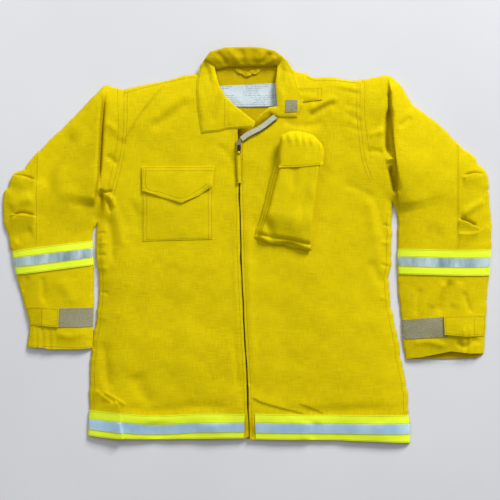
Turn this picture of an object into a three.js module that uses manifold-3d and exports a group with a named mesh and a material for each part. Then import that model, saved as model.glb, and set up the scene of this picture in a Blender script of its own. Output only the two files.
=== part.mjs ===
// A firefighter's single-layer coat, lying flat on its back with the zip closed.
// Millimetres, +Z up. X runs across the coat, +Y is towards the collar.
// "right" and "left" are the wearer's, so right is the -X side.
import * as THREE from 'three';
import { mergeVertices, mergeGeometries } from 'three/addons/utils/BufferGeometryUtils.js';
import Module from 'manifold-3d';

const wasm = await Module();
wasm.setup();

// ---------------------------------------------------------------- driving sizes
const sleeveSpan = 927; // over both sleeves
const coatLength = 750; // collar edge to hem
const hemWidth = 611; // across the hem
const trimWidth = 50.8; // two-inch triple trim
const cloth = 2.4; // stand-in thickness of one shell layer
const gap = 0.3; // between pieces that touch on the real coat
const cavity = 11.6; // height of the air between back and front
const patchDepth = 5; // height inside the chest pocket
const bellowsDepth = 20; // height inside the radio pocket
const thinCloth = 1.6; // pockets, flaps and tabs
const bandThick = 0.8; // fluorescent band
const stripeThick = 0.4; // reflective stripe
const padThick = 1.1; // hook-and-loop pads
const toothPitch = 6; // zip teeth, coarser than the real pitch
const zipGap = 2; // from the zip's centre line to each front edge
const zipTilt = Math.atan2(17.5, 495); // the zip leans this much across the coat
const sliderRest = 188; // slider's place along the zip
const zipEnd = -300; // bottom end of the zip
const chainTop = 193; // last meshed tooth
const sliderTop = 1.6; // slider's plates

// ---------------------------------------------------------------- levels
const backTop = cloth;
const frontLow = backTop + cavity;
const frontTop = frontLow + cloth;
const onFront = frontTop + gap;
const recessTop = stripeThick + gap + bandThick + gap;

// ---------------------------------------------------------------- colours
const coatYellow = '#d3bf06';
const limeColour = '#e2f83a';
const silverColour = '#b4c6cf';
const loopColour = '#a3a27c';
const hookColour = '#8f8c6a';
const brassColour = '#b89a4c';
const darkColour = '#1d1b18';
const tapeColour = '#c9c9a8';
const labelColour = '#dfe7ea';

// ---------------------------------------------------------------- helpers
const coat = new THREE.Group();

function material(colour, roughness = 0.9, metalness = 0) {
  return new THREE.MeshStandardMaterial({ color: colour, roughness, metalness });
}

function solidOf(geometry) {
  const plain = new THREE.BufferGeometry();
  plain.setAttribute('position', geometry.getAttribute('position').clone());
  if (geometry.index) {
    plain.setIndex(geometry.index.clone());
  }
  const merged = mergeVertices(plain, 1e-4);
  const mesh = new wasm.Mesh({
    numProp: 3,
    vertProperties: new Float32Array(merged.getAttribute('position').array),
    triVerts: new Uint32Array(merged.index.array),
  });
  return new wasm.Manifold(mesh);
}

function geometryOf(solid) {
  const mesh = solid.getMesh();
  const geometry = new THREE.BufferGeometry();
  geometry.setAttribute('position', new THREE.BufferAttribute(mesh.vertProperties, 3));
  geometry.setIndex(new THREE.BufferAttribute(mesh.triVerts, 1));
  geometry.computeVertexNormals();
  return geometry;
}

function join(...solids) {
  return solids.reduce((all, one) => all.add(one));
}

function name(label, solid, colour, parent = coat, roughness = 0.9, metalness = 0) {
  const mesh = new THREE.Mesh(geometryOf(solid), material(colour, roughness, metalness));
  mesh.name = label;
  parent.add(mesh);
  return mesh;
}

function plate(outline, low, high) {
  const shape = new THREE.Shape(outline.map(([x, y]) => new THREE.Vector2(x, y)));
  const made = new THREE.ExtrudeGeometry(shape, { depth: high - low, bevelEnabled: false });
  made.translate(0, 0, low);
  return solidOf(made);
}

function box(x0, x1, y0, y1, z0, z1) {
  const made = new THREE.BoxGeometry(x1 - x0, y1 - y0, z1 - z0);
  made.translate((x0 + x1) / 2, (y0 + y1) / 2, (z0 + z1) / 2);
  return solidOf(made);
}

// A round bar along X.
function roll(x0, x1, y, z, radius, sides = 16) {
  const made = new THREE.CylinderGeometry(radius, radius, x1 - x0, sides);
  made.rotateZ(Math.PI / 2);
  made.translate((x0 + x1) / 2, y, z);
  return solidOf(made);
}

// A round bar along Y.
function post(x, y0, y1, z, radius, sides = 16) {
  const made = new THREE.CylinderGeometry(radius, radius, y1 - y0, sides);
  made.translate(x, (y0 + y1) / 2, z);
  return solidOf(made);
}

// A smooth line through a few points, with the given number of steps between two of them.
function smooth(points, steps = 3) {
  const curve = new THREE.SplineCurve(points.map(([x, y]) => new THREE.Vector2(x, y)));
  return curve.getPoints((points.length - 1) * steps).map((p) => [p.x, p.y]);
}

// The line moved sideways, to its left for a positive distance.
function beside(line, distance) {
  return line.map(([x, y], i) => {
    const [ax, ay] = line[Math.max(i - 1, 0)];
    const [bx, by] = line[Math.min(i + 1, line.length - 1)];
    const length = Math.hypot(bx - ax, by - ay);
    return [x - (distance * (by - ay)) / length, y + (distance * (bx - ax)) / length];
  });
}

// An upright wall along a line, on its left side.
function wall(line, thick, low, high) {
  return plate([...line, ...beside(line, thick).reverse()], low, high);
}

function mirrored(solid, x) {
  return solid.translate([-x, 0, 0]).mirror([1, 0, 0]).translate([x, 0, 0]);
}

// ---------------------------------------------------------------- outlines
const halfSpan = sleeveSpan / 2;
const top = coatLength / 2;
const hemY = -coatLength / 2;
const halfHem = hemWidth / 2;

function zipX(y) {
  return -16.5 + (195 - y) * Math.tan(zipTilt);
}

const rightShoulder = smooth([[-64, 327], [-97, 325], [-121, 322], [-151, 313], [-189, 305], [-236, 298]], 2);
const rightArmhole = smooth([[-236, 298], [-236, 221], [-242, 174], [-258.5, 102], [-285, 40]], 3);
const rightSide = smooth(
  [[-285, 40], [-284, -38], [-280, -78], [-283, -129], [-288, -175], [-295, -225], [-299, -290], [3 - halfHem, hemY + 14]],
  2,
);
const leftShoulder = smooth([[60, 338], [88, 330], [120, 318], [166, 317], [196, 313], [217, 315]], 2);
const leftArmhole = smooth([[217, 315], [214.5, 251], [219, 207], [232, 140], [262, 98], [276, 72]], 3);
const leftSide = smooth(
  [[276, 72], [272, -38], [267, -69], [272, -114], [281, -159], [292, -219], [303, -280], [halfHem + 3, hemY]],
  2,
);
const backNeck = smooth([[-64, 327], [-56, 337], [-20, 339], [36, 339], [60, 338]], 2);
const hem = [[3 - halfHem, hemY + 14], [-242, hemY + 9], [-5.6, hemY + 10], [15, hemY + 9], [190, hemY + 4]];

const rightFront = [
  ...rightShoulder,
  ...rightArmhole.slice(1),
  ...rightSide.slice(1),
  [-242, hemY + 9],
  [-5.6, hemY + 10],
  [zipX(zipEnd + 5) - zipGap, zipEnd + 5],
  [zipX(225) - zipGap, 225],
  [-27, 255],
  [-43, 281],
  [-57, 303],
];
const leftFront = [
  [zipX(zipEnd + 5) + zipGap, zipEnd + 5],
  [15, hemY + 9],
  [190, hemY + 4],
  ...[...leftSide].reverse(),
  ...[...leftArmhole].reverse().slice(1),
  ...[...leftShoulder].reverse().slice(1),
  [55, 307],
  [56, 262],
  [54, 243],
  [zipX(190) + zipGap, 190],
];
const backOutline = [
  ...[...backNeck].reverse(),
  ...rightShoulder.slice(1),
  ...rightArmhole.slice(1),
  ...rightSide.slice(1),
  ...hem.slice(1),
  ...[...leftSide].reverse(),
  ...[...leftArmhole].reverse().slice(1),
  ...[...leftShoulder].reverse().slice(1, -1),
];

// ---------------------------------------------------------------- hem trim
const hemTrimTop = [[-320, 64], [-240, 59], [-174, 54], [-5, 57], [330, 54]].map(([x, y]) => [x, hemY + y]);
const stripeTopDrop = 17;
const stripeWide = 19;

function below(line, drop, low, high, depth = 90) {
  const upper = line.map(([x, y]) => [x, y - drop]);
  const lower = line.map(([x, y]) => [x, y - drop - depth]).reverse();
  return plate([...upper, ...lower], low, high);
}

function hemBand(outline, low, high) {
  return below(hemTrimTop, 0, low, high).intersect(plate(outline, low - 1, high + 1));
}

function hemStripe(outline, low, high) {
  return below(hemTrimTop, stripeTopDrop, low, high, stripeWide).intersect(plate(outline, low - 1, high + 1));
}

// ---------------------------------------------------------------- shell
const hemRecess = below(hemTrimTop, -gap, -1, recessTop);
name('back_panel', plate(backOutline, 0, backTop).subtract(hemRecess), coatYellow);

const rightRim = join(
  wall(rightShoulder, cloth, backTop + gap, frontLow + 1),
  wall(rightSide, cloth, backTop + gap, frontLow + 1),
);
name('right_front_panel', join(plate(rightFront, frontLow, frontTop), rightRim), coatYellow);

const leftRim = join(
  wall([...leftShoulder].reverse(), cloth, backTop + gap, frontLow + 1),
  wall([...leftSide].reverse(), cloth, backTop + gap, frontLow + 1),
);
name('left_front_panel', join(plate(leftFront, frontLow, frontTop), leftRim), coatYellow);

// ---------------------------------------------------------------- hem trims
name('right_hem_band', hemBand(rightFront, onFront, onFront + bandThick), limeColour);
name('left_hem_band', hemBand(leftFront, onFront, onFront + bandThick), limeColour);
name('back_hem_band', hemBand(backOutline, stripeThick + gap, stripeThick + gap + bandThick), limeColour);
const onBand = onFront + bandThick + gap;
name('right_hem_stripe', hemStripe(rightFront, onBand, onBand + stripeThick), silverColour, coat, 0.4);
name('left_hem_stripe', hemStripe(leftFront, onBand, onBand + stripeThick), silverColour, coat, 0.4);
name('back_hem_stripe', hemStripe(backOutline, 0, stripeThick), silverColour, coat, 0.4);

// ---------------------------------------------------------------- sleeves
const seam = 0.7; // between the sleeve and the armhole edge
const rightOuter = smooth(
  [
    [-238, 298.5], [-270, 303.5], [-315, 258.5], [-345, 228], [-375, 199], [-401, 174], [-424, 144],
    [-441, 138], [-453, 111], [1.3 - halfSpan, 98], [1.3 - halfSpan, 48], [-453, 18], [-446, -11], [-434, -74],
    [-422, -114], [-413, -151], [-417, -192],
  ],
  2,
);
const rightInner = [[-296, -196], [-294.5, -115], [-292, -38], [-292, -6], [-289, 30]];
const rightSleeve = [
  ...rightOuter,
  [-377, -196.5],
  ...rightInner,
  ...beside(rightArmhole, -seam).reverse().slice(0, -1),
];
const leftOuter = smooth(
  [
    [219, 316], [267, 321], [289.5, 303], [322, 260], [364, 228], [407, 185], [432, 166], [452, 140],
    [458, 111], [halfSpan, 42], [461.5, -7], [458, -56], [453, -99], [452, -129], [450, -170], [448, -204],
  ],
  2,
);
const leftInner = [[300, -215], [294, -176], [291, -130], [286, -69], [284.8, -7], [281, 60]];
const leftSleeve = [
  ...leftOuter,
  [433, -213],
  ...leftInner,
  ...beside(leftArmhole, seam).reverse().slice(0, -1),
];

function slab(left, right, wide, low, high) {
  const [ax, ay] = left;
  const [bx, by] = right;
  return plate([[ax, ay], [bx, by], [bx, by - wide], [ax, ay - wide]], low, high);
}

function sleeve(side, outline, outer, inner, elbowX, bandLeft, bandRight) {
  const sign = side === 'right' ? -1 : 1;
  const bandTall = trimWidth * 0.9;
  const band = (low, high, drop, tall) =>
    slab([bandLeft[0], bandLeft[1] - drop], [bandRight[0], bandRight[1] - drop], tall, low, high);
  const cut = (solid, low, high) => solid.intersect(plate(outline, low - 1, high + 1));

  const recess = band(-1, recessTop, -gap, bandTall + 2 * gap);
  name(`${side}_sleeve_back`, plate(outline, 0, backTop).subtract(recess), coatYellow);

  const outerWall = sign < 0 ? outer : [...outer].reverse();
  const innerWall = sign < 0 ? inner : [...inner].reverse();
  const front = join(
    plate(outline, frontLow, frontTop),
    wall(outerWall, cloth, backTop + gap, frontLow + 1),
    wall(innerWall, cloth, backTop + gap, frontLow + 1),
  );
  const elbowLow = bandLeft[1] - bandTall / 2;
  const far = sign * 600;
  const elbowZone = (edge, low) =>
    box(Math.min(edge, far), Math.max(edge, far), low, 400, -1, frontTop + 1);
  name(`${side}_elbow_panel`, front.intersect(elbowZone(elbowX, elbowLow)), coatYellow);
  name(`${side}_sleeve_front`, front.subtract(elbowZone(elbowX - sign * gap, elbowLow - gap)), coatYellow);

  const bandLow = onFront;
  const bandHigh = bandLow + bandThick;
  name(`${side}_sleeve_band_front`, cut(band(bandLow, bandHigh, 0, bandTall), bandLow, bandHigh), limeColour);
  const stripeLow = bandHigh + gap;
  const stripeHigh = stripeLow + stripeThick;
  const stripeDrop = bandTall * 0.29;
  const stripeTall = bandTall * 0.38;
  const frontStripe = cut(band(stripeLow, stripeHigh, stripeDrop, stripeTall), stripeLow, stripeHigh);
  name(`${side}_sleeve_stripe_front`, frontStripe, silverColour, coat, 0.4);
  const backBandLow = stripeThick + gap;
  const backBand = cut(band(backBandLow, backBandLow + bandThick, 0, bandTall), 0, recessTop);
  name(`${side}_sleeve_band_back`, backBand, limeColour);
  const backStripe = cut(band(0, stripeThick, stripeDrop, stripeTall), 0, stripeThick);
  name(`${side}_sleeve_stripe_back`, backStripe, silverColour, coat, 0.4);
}

sleeve('right', rightSleeve, rightOuter, rightInner, -395, [-480, -14], [-270, 10]);
sleeve('left', leftSleeve, leftOuter, leftInner, 396, [270, -6], [480, -9]);

// ---------------------------------------------------------------- cuff closures
const padLow = onFront;
const hookLow = padLow + padThick + gap;
const tabLow = hookLow + padThick + gap;
const tabTop = tabLow + thinCloth;
const tabClear = 4.4; // from the turning line to the sewn-down end

// The outer end is sewn down; the free end turns up on a line beside it.
function cuffTab(side, x0, hingeX, x1, low, high, padEnd) {
  const turn = Math.sign(x1 - x0);
  const radius = (tabTop - onFront) / 2;
  const baseEnd = hingeX - turn * tabClear;
  const base = [[x0, low], [baseEnd, low], [baseEnd, high], [x0, high]];
  name(`${side}_cuff_tab_base`, plate(base, onFront, onFront + thinCloth), coatYellow);
  const tip = [[hingeX, low], [x1, low + 2], [x1, high - 2], [hingeX, high]];
  const rollAxis = post(hingeX, low, high, onFront + radius, radius);
  name(`${side}_cuff_tab`, join(rollAxis, plate(tip, tabLow, tabTop)), coatYellow);
  const hookStart = hingeX + turn * (radius + 2);
  const hook = [[hookStart, low + 5], [x1 - turn * 3, low + 5], [x1 - turn * 3, high - 5], [hookStart, high - 5]];
  name(`${side}_cuff_hook_pad`, plate(hook, hookLow, hookLow + padThick), hookColour);
  const loop = [[hookStart, low + 1], [padEnd, low], [padEnd, high - 1], [hookStart, high]];
  name(`${side}_cuff_loop_pad`, plate(loop, padLow, padLow + padThick), loopColour);
}

cuffTab('right', -410, -388, -354, -155, -117, -298);
cuffTab('left', 447, 420, 368, -171, -132, 297);

// ---------------------------------------------------------------- collar
const collarLow = onFront;
const collarThick = 2.4;
const collarTop = collarLow + collarThick;
// each fold line runs from the neck seam to the front end of the leaf
const rightFoldTop = [-58, 322];
const rightFoldEnd = [13, 232];
const leftFoldTop = [57, 338];
const leftFoldEnd = [19, 234];
const rightLeafOuter = smooth([[-97, 290], [-94, 262], [-89, 212]], 3);
const rightLeaf = [[-57, 321], ...rightLeafOuter, [-54, 214], [-25, 219], [11, 222], [13.5, 231.5]];
const leftLeafOuter = smooth([[96, 322], [104, 292], [107, 262], [95, 241], [59, 241]], 3);
const leftLeaf = [[58, 336], ...leftLeafOuter, [22, 236], [40, 259], [53, 300]];
name('collar_right_leaf', plate(rightLeaf, collarLow, collarTop), coatYellow);
name('collar_left_leaf', plate(leftLeaf, collarLow, collarTop), coatYellow);

const collarEdge = smooth([[-98, 293], [-97, 318], [-89, 343], [-72, 362], [-40, 372], [5, 375], [52, 372], [75, 352], [95, 326]], 2);
const collarBack = [
  ...collarEdge,
  [60, 340],
  [36, 345],
  [-20, 345],
  [-59, 326],
];
const backFoot = [[-50, 338], [34, 345], [34, 352], [-50, 352]];
const collarBackSolid = join(plate(collarBack, collarLow, collarTop), plate(backFoot, backTop + gap, collarLow + 1));
name('collar_back', collarBackSolid, coatYellow);

const loopSquare = 23;
const square = [[0, 0], [loopSquare, 0], [loopSquare, loopSquare], [0, loopSquare]].map(([x, y]) => [x + 71, y + 251]);
name('collar_loop_pad', plate(square, collarTop + gap, collarTop + gap + padThick), loopColour);

const tabHinge = 112;
const throatRadius = thinCloth / 2 + 0.2;
const throatTab = [[tabHinge, 271], [140, 273], [142, 276], [142, 295], [140, 298], [tabHinge, 297]];
const throatSolid = join(
  plate(throatTab, onFront, onFront + thinCloth + 0.4),
  post(tabHinge, 271, 297, onFront + throatRadius, throatRadius),
);
name('collar_tab', throatSolid, coatYellow);

// ---------------------------------------------------------------- neck
const loopRadius = 2;
const loopZ = backTop + gap + loopRadius;
const loopPath = new THREE.CatmullRomCurve3(
  [[-20, 335], [-17, 328], [-10, 325.5], [1, 325], [12, 325.5], [19, 328], [22, 335]].map(
    ([x, y]) => new THREE.Vector3(x, y, loopZ),
  ),
);
const loopSection = new THREE.Shape();
loopSection.absarc(0, 0, loopRadius, 0, Math.PI * 2);
const loopTube = new THREE.ExtrudeGeometry(loopSection, { extrudePath: loopPath, steps: 14, curveSegments: 5 });
name('hanger_loop', solidOf(loopTube), coatYellow);

const labelCorners = [[-40, 302], [52, 307], [53, 264], [-24, 266]];
name('care_label', plate(labelCorners, backTop + gap, backTop + gap + 0.6), labelColour, coat, 0.7);

// ---------------------------------------------------------------- chest pocket
const pouchLow = onFront + patchDepth;
const pouchTop = pouchLow + thinCloth;
const flapLow = pouchTop + gap;
const flapTop = flapLow + thinCloth;
const chestLeft = -197;
const chestRight = -65;
const chestBottom = 8;
const chestMouth = 143;
const chestFlapY = 149;

// A pouch open at its upper end: a face and three walls that stand on the front.
function pouch(x0, x1, y0, y1, face, thick) {
  return join(
    box(x0, x1, y0, y1, face, face + thick),
    box(x0, x0 + thick, y0, y1, onFront, face + 0.5),
    box(x1 - thick, x1, y0, y1, onFront, face + 0.5),
    box(x0, x1, y0, y0 + thick, onFront, face + 0.5),
  );
}

name('chest_pouch', pouch(chestLeft, chestRight, chestBottom, chestMouth, pouchLow, thinCloth), coatYellow);
const flapRadius = (flapTop - onFront) / 2;
const chestFlapAxisZ = onFront + flapRadius;
const flapShape = [
  [chestLeft - 3, chestFlapY],
  [chestLeft - 3, 104],
  [-124, 81],
  [chestRight + 3, 106],
  [chestRight + 3, chestFlapY],
];
const chestFlapSolid = join(
  plate(flapShape, flapLow, flapTop),
  roll(chestLeft - 3, chestRight + 3, chestFlapY, chestFlapAxisZ, flapRadius),
);
name('chest_flap', chestFlapSolid, coatYellow);

// ---------------------------------------------------------------- radio pocket
const radio = new THREE.Group();
const radioLean = THREE.MathUtils.degToRad(-10.5);
radio.position.set(96, 152, 0);
radio.rotation.z = radioLean;
coat.add(radio);
const radioHalf = 41;
const radioLong = 149;
const radioMouth = 54;
const radioFace = onFront + bellowsDepth;
const radioTop = radioFace + thinCloth;
const radioPouch = pouch(-radioHalf, radioHalf, -radioLong, radioMouth, radioFace, thinCloth);
name('radio_pouch', radioPouch, coatYellow, radio);
const radioFlapLow = radioTop + gap;
const radioFlapTop = radioFlapLow + thinCloth;
const radioFlapY = radioMouth + 5;
const footRadius = thinCloth / 2;
const radioFlapOutline = [
  [-radioHalf, -12],
  [radioHalf, 9],
  [radioHalf, 42],
  [radioHalf - 16, radioFlapY + footRadius],
  [16 - radioHalf, radioFlapY + footRadius],
  [-radioHalf, 40],
];
const flapSide = radioHalf - 16;
const radioFlap = join(
  plate(radioFlapOutline, radioFlapLow, radioFlapTop),
  box(-flapSide, flapSide, radioFlapY - footRadius, radioFlapY + footRadius, onFront + footRadius, radioFlapLow + 0.5),
  roll(-flapSide, flapSide, radioFlapY, onFront + footRadius, footRadius),
);
name('radio_flap', radioFlap, coatYellow, radio);

// ---------------------------------------------------------------- zip
const zip = new THREE.Group();
zip.position.set(zipX(0), 0, 0);
zip.rotation.z = zipTilt;
coat.add(zip);

const teethLow = frontLow - 2.2;
const teethHigh = frontLow - 0.4;
const tapeLow = frontLow - 1.8;
const tapeHigh = frontLow - 0.8;
const stem = 1.6; // nearest edge of a row's stem to the centre line
const stemWide = 1.6;
const tipReach = 1.3; // tooth tips cross the centre line by this much
const toothWide = 2.4;
const tapeWide = 14;

// One row: a stem with teeth across the centre line, side = -1 or 1.
function row(side, first, last, skipFrom, skipTo, end) {
  const edge = [[side * (stem + stemWide), zipEnd]];
  edge.push([side * stem, zipEnd]);
  for (let y = first; y < last; y += toothPitch) {
    if (y > skipFrom && y < skipTo) {
      continue;
    }
    edge.push([side * stem, y - toothWide / 2]);
    edge.push([-side * tipReach, y - toothWide / 2]);
    edge.push([-side * tipReach, y + toothWide / 2]);
    edge.push([side * stem, y + toothWide / 2]);
  }
  edge.push([side * stem, end]);
  edge.push([side * (stem + stemWide), end]);
  return plate(edge, teethLow, teethHigh);
}

const firstTooth = zipEnd + 4;
const openLength = 66; // the part of the left row that lies back with the folded corner
const openAngle = THREE.MathUtils.degToRad(-59) - zipTilt;
name('zipper_right_teeth', row(-1, firstTooth, 216, chainTop - 1, 201, 218), brassColour, zip, 0.4, 0.9);

function openTeeth() {
  const edge = [[stem, 0]];
  for (let y = 8; y < openLength - 3; y += toothPitch) {
    edge.push([stem, y - toothWide / 2]);
    edge.push([-tipReach, y - toothWide / 2]);
    edge.push([-tipReach, y + toothWide / 2]);
    edge.push([stem, y + toothWide / 2]);
  }
  edge.push([stem, openLength]);
  edge.push([stem + stemWide, openLength]);
  edge.push([stem + stemWide, 0]);
  return plate(edge, teethLow, teethHigh).rotate([0, 0, THREE.MathUtils.radToDeg(openAngle)]).translate([1, 200, 0]);
}

const leftRow = join(row(1, firstTooth + toothPitch / 2, chainTop, 1000, 1000, 201), openTeeth());
name('zipper_left_teeth', leftRow, brassColour, zip, 0.4, 0.9);

const tapeEdge = stem + stemWide + gap;
const rightTape = box(-tapeEdge - tapeWide, -tapeEdge, zipEnd - 4, 218, tapeLow, tapeHigh);
name('zipper_right_tape', rightTape, tapeColour, zip);
const openTape = box(tapeEdge, tapeEdge + tapeWide - 3, 2, openLength, tapeLow, tapeHigh)
  .rotate([0, 0, THREE.MathUtils.radToDeg(openAngle)])
  .translate([1, 200, 0]);
const leftTape = join(box(tapeEdge, tapeEdge + tapeWide, zipEnd - 4, 196, tapeLow, tapeHigh), openTape);
name('zipper_left_tape', leftTape, tapeColour, zip);

const bottomBox = box(-4.2, 4.2, zipEnd - 7, zipEnd - gap, teethLow, tapeHigh);
name('zipper_bottom_box', bottomBox.subtract(box(tapeEdge - gap, 9, zipEnd - 9, zipEnd + 1, 0, 40))
  .subtract(box(-9, gap - tapeEdge, zipEnd - 9, zipEnd + 1, 0, 40)), brassColour, zip, 0.4, 0.9);

// slider: two plates joined by a post that stands above the last meshed tooth
const sliderHalf = 4.3;
const topPlate = onFront;
const pinZ = topPlate + sliderTop + 2.8;
const pinRadius = 0.6;
const pinHole = pinRadius + gap;
const pullerEye = 1.3;
const earInside = pullerEye * 2 + gap;
const earWide = 1;
const sliderEars = (side) => box(
  Math.min(side * earInside, side * (earInside + earWide)),
  Math.max(side * earInside, side * (earInside + earWide)),
  sliderRest - 1.8,
  sliderRest + 1.8,
  topPlate + 0.5,
  pinZ + 1.6,
);
const sliderSolid = join(
  box(-sliderHalf, sliderHalf, sliderRest - 5, sliderRest + 10.5, topPlate, topPlate + sliderTop),
  box(-sliderHalf, sliderHalf, sliderRest - 5, sliderRest + 10.5, teethLow - gap - 1.2, teethLow - gap),
  box(-1.3, 1.3, sliderRest + 7, sliderRest + 10, teethLow - gap - 0.5, topPlate + 0.5),
  sliderEars(-1),
  sliderEars(1),
).subtract(roll(-8, 8, sliderRest, pinZ, pinHole, 12));
name('zipper_slider', sliderSolid, brassColour, zip, 0.35, 0.9);

const pullerThick = 1.2;
const pullerLong = 14;
const pullerHalf = 3.4;
const slotHalf = 2.4;
const barY = sliderRest - pullerLong + 0.75;
const pullerSolid = join(
  box(-2.6, 2.6, sliderRest - 4.5, sliderRest, pinZ - pullerThick / 2, pinZ + pullerThick / 2),
  box(-pullerHalf, pullerHalf, sliderRest - pullerLong, sliderRest - 4, pinZ - pullerThick / 2, pinZ + pullerThick / 2),
  roll(-2.6, 2.6, sliderRest, pinZ, pullerEye, 12),
  roll(-earInside - earWide, earInside + earWide, sliderRest, pinZ, pinRadius, 12),
).subtract(box(-slotHalf, slotHalf, barY + 0.75, barY + 4.25, 0, 60));
name('zipper_puller', pullerSolid, darkColour, zip, 0.5, 0.4);

const strapWide = 10;
const strapLong = 60;
const ringOut = 2.2;
const ringIn = 1.35;
const strapThick = 0.9;
const ringHalf = slotHalf - gap;
const strapLow = pinZ - ringOut;
const strapSolid = join(
  roll(-ringHalf, ringHalf, barY, pinZ, ringOut, 20).subtract(roll(-9, 9, barY, pinZ, ringIn, 20)),
  box(-ringHalf, ringHalf, barY - 5, barY - 1.6, strapLow + 0.1, strapLow + strapThick),
  box(-strapWide / 2, strapWide / 2, barY - strapLong, barY - 4, strapLow, strapLow + strapThick),
);
name('zipper_pull_strap', strapSolid, coatYellow, zip);

// The inner wind flap is sewn to the left front beside the tape.
const flapSeamX = tapeEdge + tapeWide + 1;
const windTop = teethLow - gap - 1.2 - gap;
const windFlap = join(
  box(-24, flapSeamX + cloth, hemY + 14, 200, windTop - thinCloth, windTop),
  box(flapSeamX, flapSeamX + cloth, hemY + 14, 182, windTop - 0.5, frontLow - gap),
);
name('wind_flap', windFlap, coatYellow, zip);

export default coat;
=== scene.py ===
# %% [markdown]
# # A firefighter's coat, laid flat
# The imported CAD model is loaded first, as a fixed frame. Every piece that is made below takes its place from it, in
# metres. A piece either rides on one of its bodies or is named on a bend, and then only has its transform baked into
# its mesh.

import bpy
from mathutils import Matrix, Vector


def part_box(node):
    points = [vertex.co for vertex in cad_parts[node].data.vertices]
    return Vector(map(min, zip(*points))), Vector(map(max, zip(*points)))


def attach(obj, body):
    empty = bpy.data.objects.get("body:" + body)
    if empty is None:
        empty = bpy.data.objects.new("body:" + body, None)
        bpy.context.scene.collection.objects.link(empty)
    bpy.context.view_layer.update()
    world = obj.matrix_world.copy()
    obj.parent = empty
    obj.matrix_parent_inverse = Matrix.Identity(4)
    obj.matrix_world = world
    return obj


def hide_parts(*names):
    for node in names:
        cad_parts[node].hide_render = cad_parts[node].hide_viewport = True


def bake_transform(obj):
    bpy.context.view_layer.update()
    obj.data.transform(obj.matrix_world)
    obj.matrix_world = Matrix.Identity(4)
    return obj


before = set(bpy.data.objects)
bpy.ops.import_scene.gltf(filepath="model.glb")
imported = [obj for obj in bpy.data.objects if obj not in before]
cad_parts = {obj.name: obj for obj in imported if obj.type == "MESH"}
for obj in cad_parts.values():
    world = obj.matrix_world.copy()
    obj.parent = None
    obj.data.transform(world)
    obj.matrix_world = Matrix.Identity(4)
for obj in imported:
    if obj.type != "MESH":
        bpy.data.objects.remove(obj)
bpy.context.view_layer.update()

# %% [markdown]
# ## Working in a tailor's units
# A coat is cut in millimetres, and Blender works in metres. The pattern lines below are in millimetres on the floor:
# x runs across the coat and y towards the collar. A mesh becomes metres only when it is made.

# %% Tools for lines and numbers
import math

import bpy
import numpy as np
from mathutils import Vector
from mathutils.geometry import delaunay_2d_cdt

MM = 0.001


def points(text):
    """Points typed as "x,y x,y ...", in millimetres."""
    return np.array([pair.split(",") for pair in text.split()], float)


def smooth_line(line, steps=4):
    """A rounded line through some points (Catmull-Rom)."""
    p = np.array(line, float)
    padded = np.vstack([2 * p[0] - p[1], p, 2 * p[-1] - p[-2]])
    out = []
    for i in range(1, len(padded) - 2):
        a, b, c, d = padded[i - 1 : i + 3]
        for k in range(steps):
            t = k / steps
            square, cube = 2 * a - 5 * b + 4 * c - d, 3 * b - a - 3 * c + d
            out.append(0.5 * (2 * b + (c - a) * t + square * t**2 + cube * t**3))
    out.append(p[-1])
    return np.array(out)


def spaced(line, step):
    """The same line with points an even step apart, its ends kept."""
    line = np.array(line, float)
    run = run_along(line)
    count = max(int(round(run[-1] / step)), 1)
    at = np.linspace(0, run[-1], count + 1)
    return np.column_stack([np.interp(at, run, line[:, k]) for k in range(line.shape[1])])


def curve(text, steps=4):
    return smooth_line(points(text), steps)


def drawn(line):
    """A line through some points: rounded, or straight where there are only two."""
    return smooth_line(line) if len(line) > 2 else np.array(line, float)


def run_along(line):
    """How far along a line each of its points is."""
    return np.concatenate([[0], np.cumsum(np.linalg.norm(np.diff(line, axis=0), axis=1))])


def length_of(line):
    return float(np.linalg.norm(np.diff(np.array(line, float), axis=0), axis=1).sum())


def measure_from(spots, line):
    """For each point: distance to the line, share of the way along it, and its side (+1 is left of it)."""
    line = np.array(line, float)
    p = np.asarray(spots, float)[:, None, :]
    a, b = line[:-1][None], line[1:][None]
    ab = b - a
    size = np.maximum((ab**2).sum(-1), 1e-9)
    t = np.clip(((p - a) * ab).sum(-1) / size, 0, 1)
    gap = p - (a + t[..., None] * ab)
    distance = np.linalg.norm(gap, axis=-1)
    best = distance.argmin(1)
    rows = np.arange(len(best))
    run = np.concatenate([[0], np.cumsum(np.sqrt(size[0]))])
    along = (run[best] + t[rows, best] * np.sqrt(size[0][best])) / run[-1]
    cross = ab[0][best][:, 0] * gap[rows, best][:, 1] - ab[0][best][:, 1] * gap[rows, best][:, 0]
    return distance[rows, best], along, np.where(cross >= 0, 1.0, -1.0)


def beside(line, distance):
    """The line moved sideways, to its left for a positive distance."""
    line = np.array(line, float)
    way = np.gradient(line, axis=0)
    way /= np.maximum(np.linalg.norm(way, axis=1, keepdims=True), 1e-9)
    return line + np.reshape(distance, (-1, 1)) * np.column_stack([-way[:, 1], way[:, 0]])


def ease(t):
    t = np.clip(t, 0, 1)
    return t * t * (3 - 2 * t)


print("a line through 3 points, rounded:", len(curve("0,0 10,8 20,0")), "points")


# %% [markdown]
# ## The pattern lines
# A real coat starts as flat pattern pieces. These lines are the edges of the coat as it lies, with the sleeves
# already folded down beside the body. Both the cloth's edge and its height follow from them.

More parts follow.
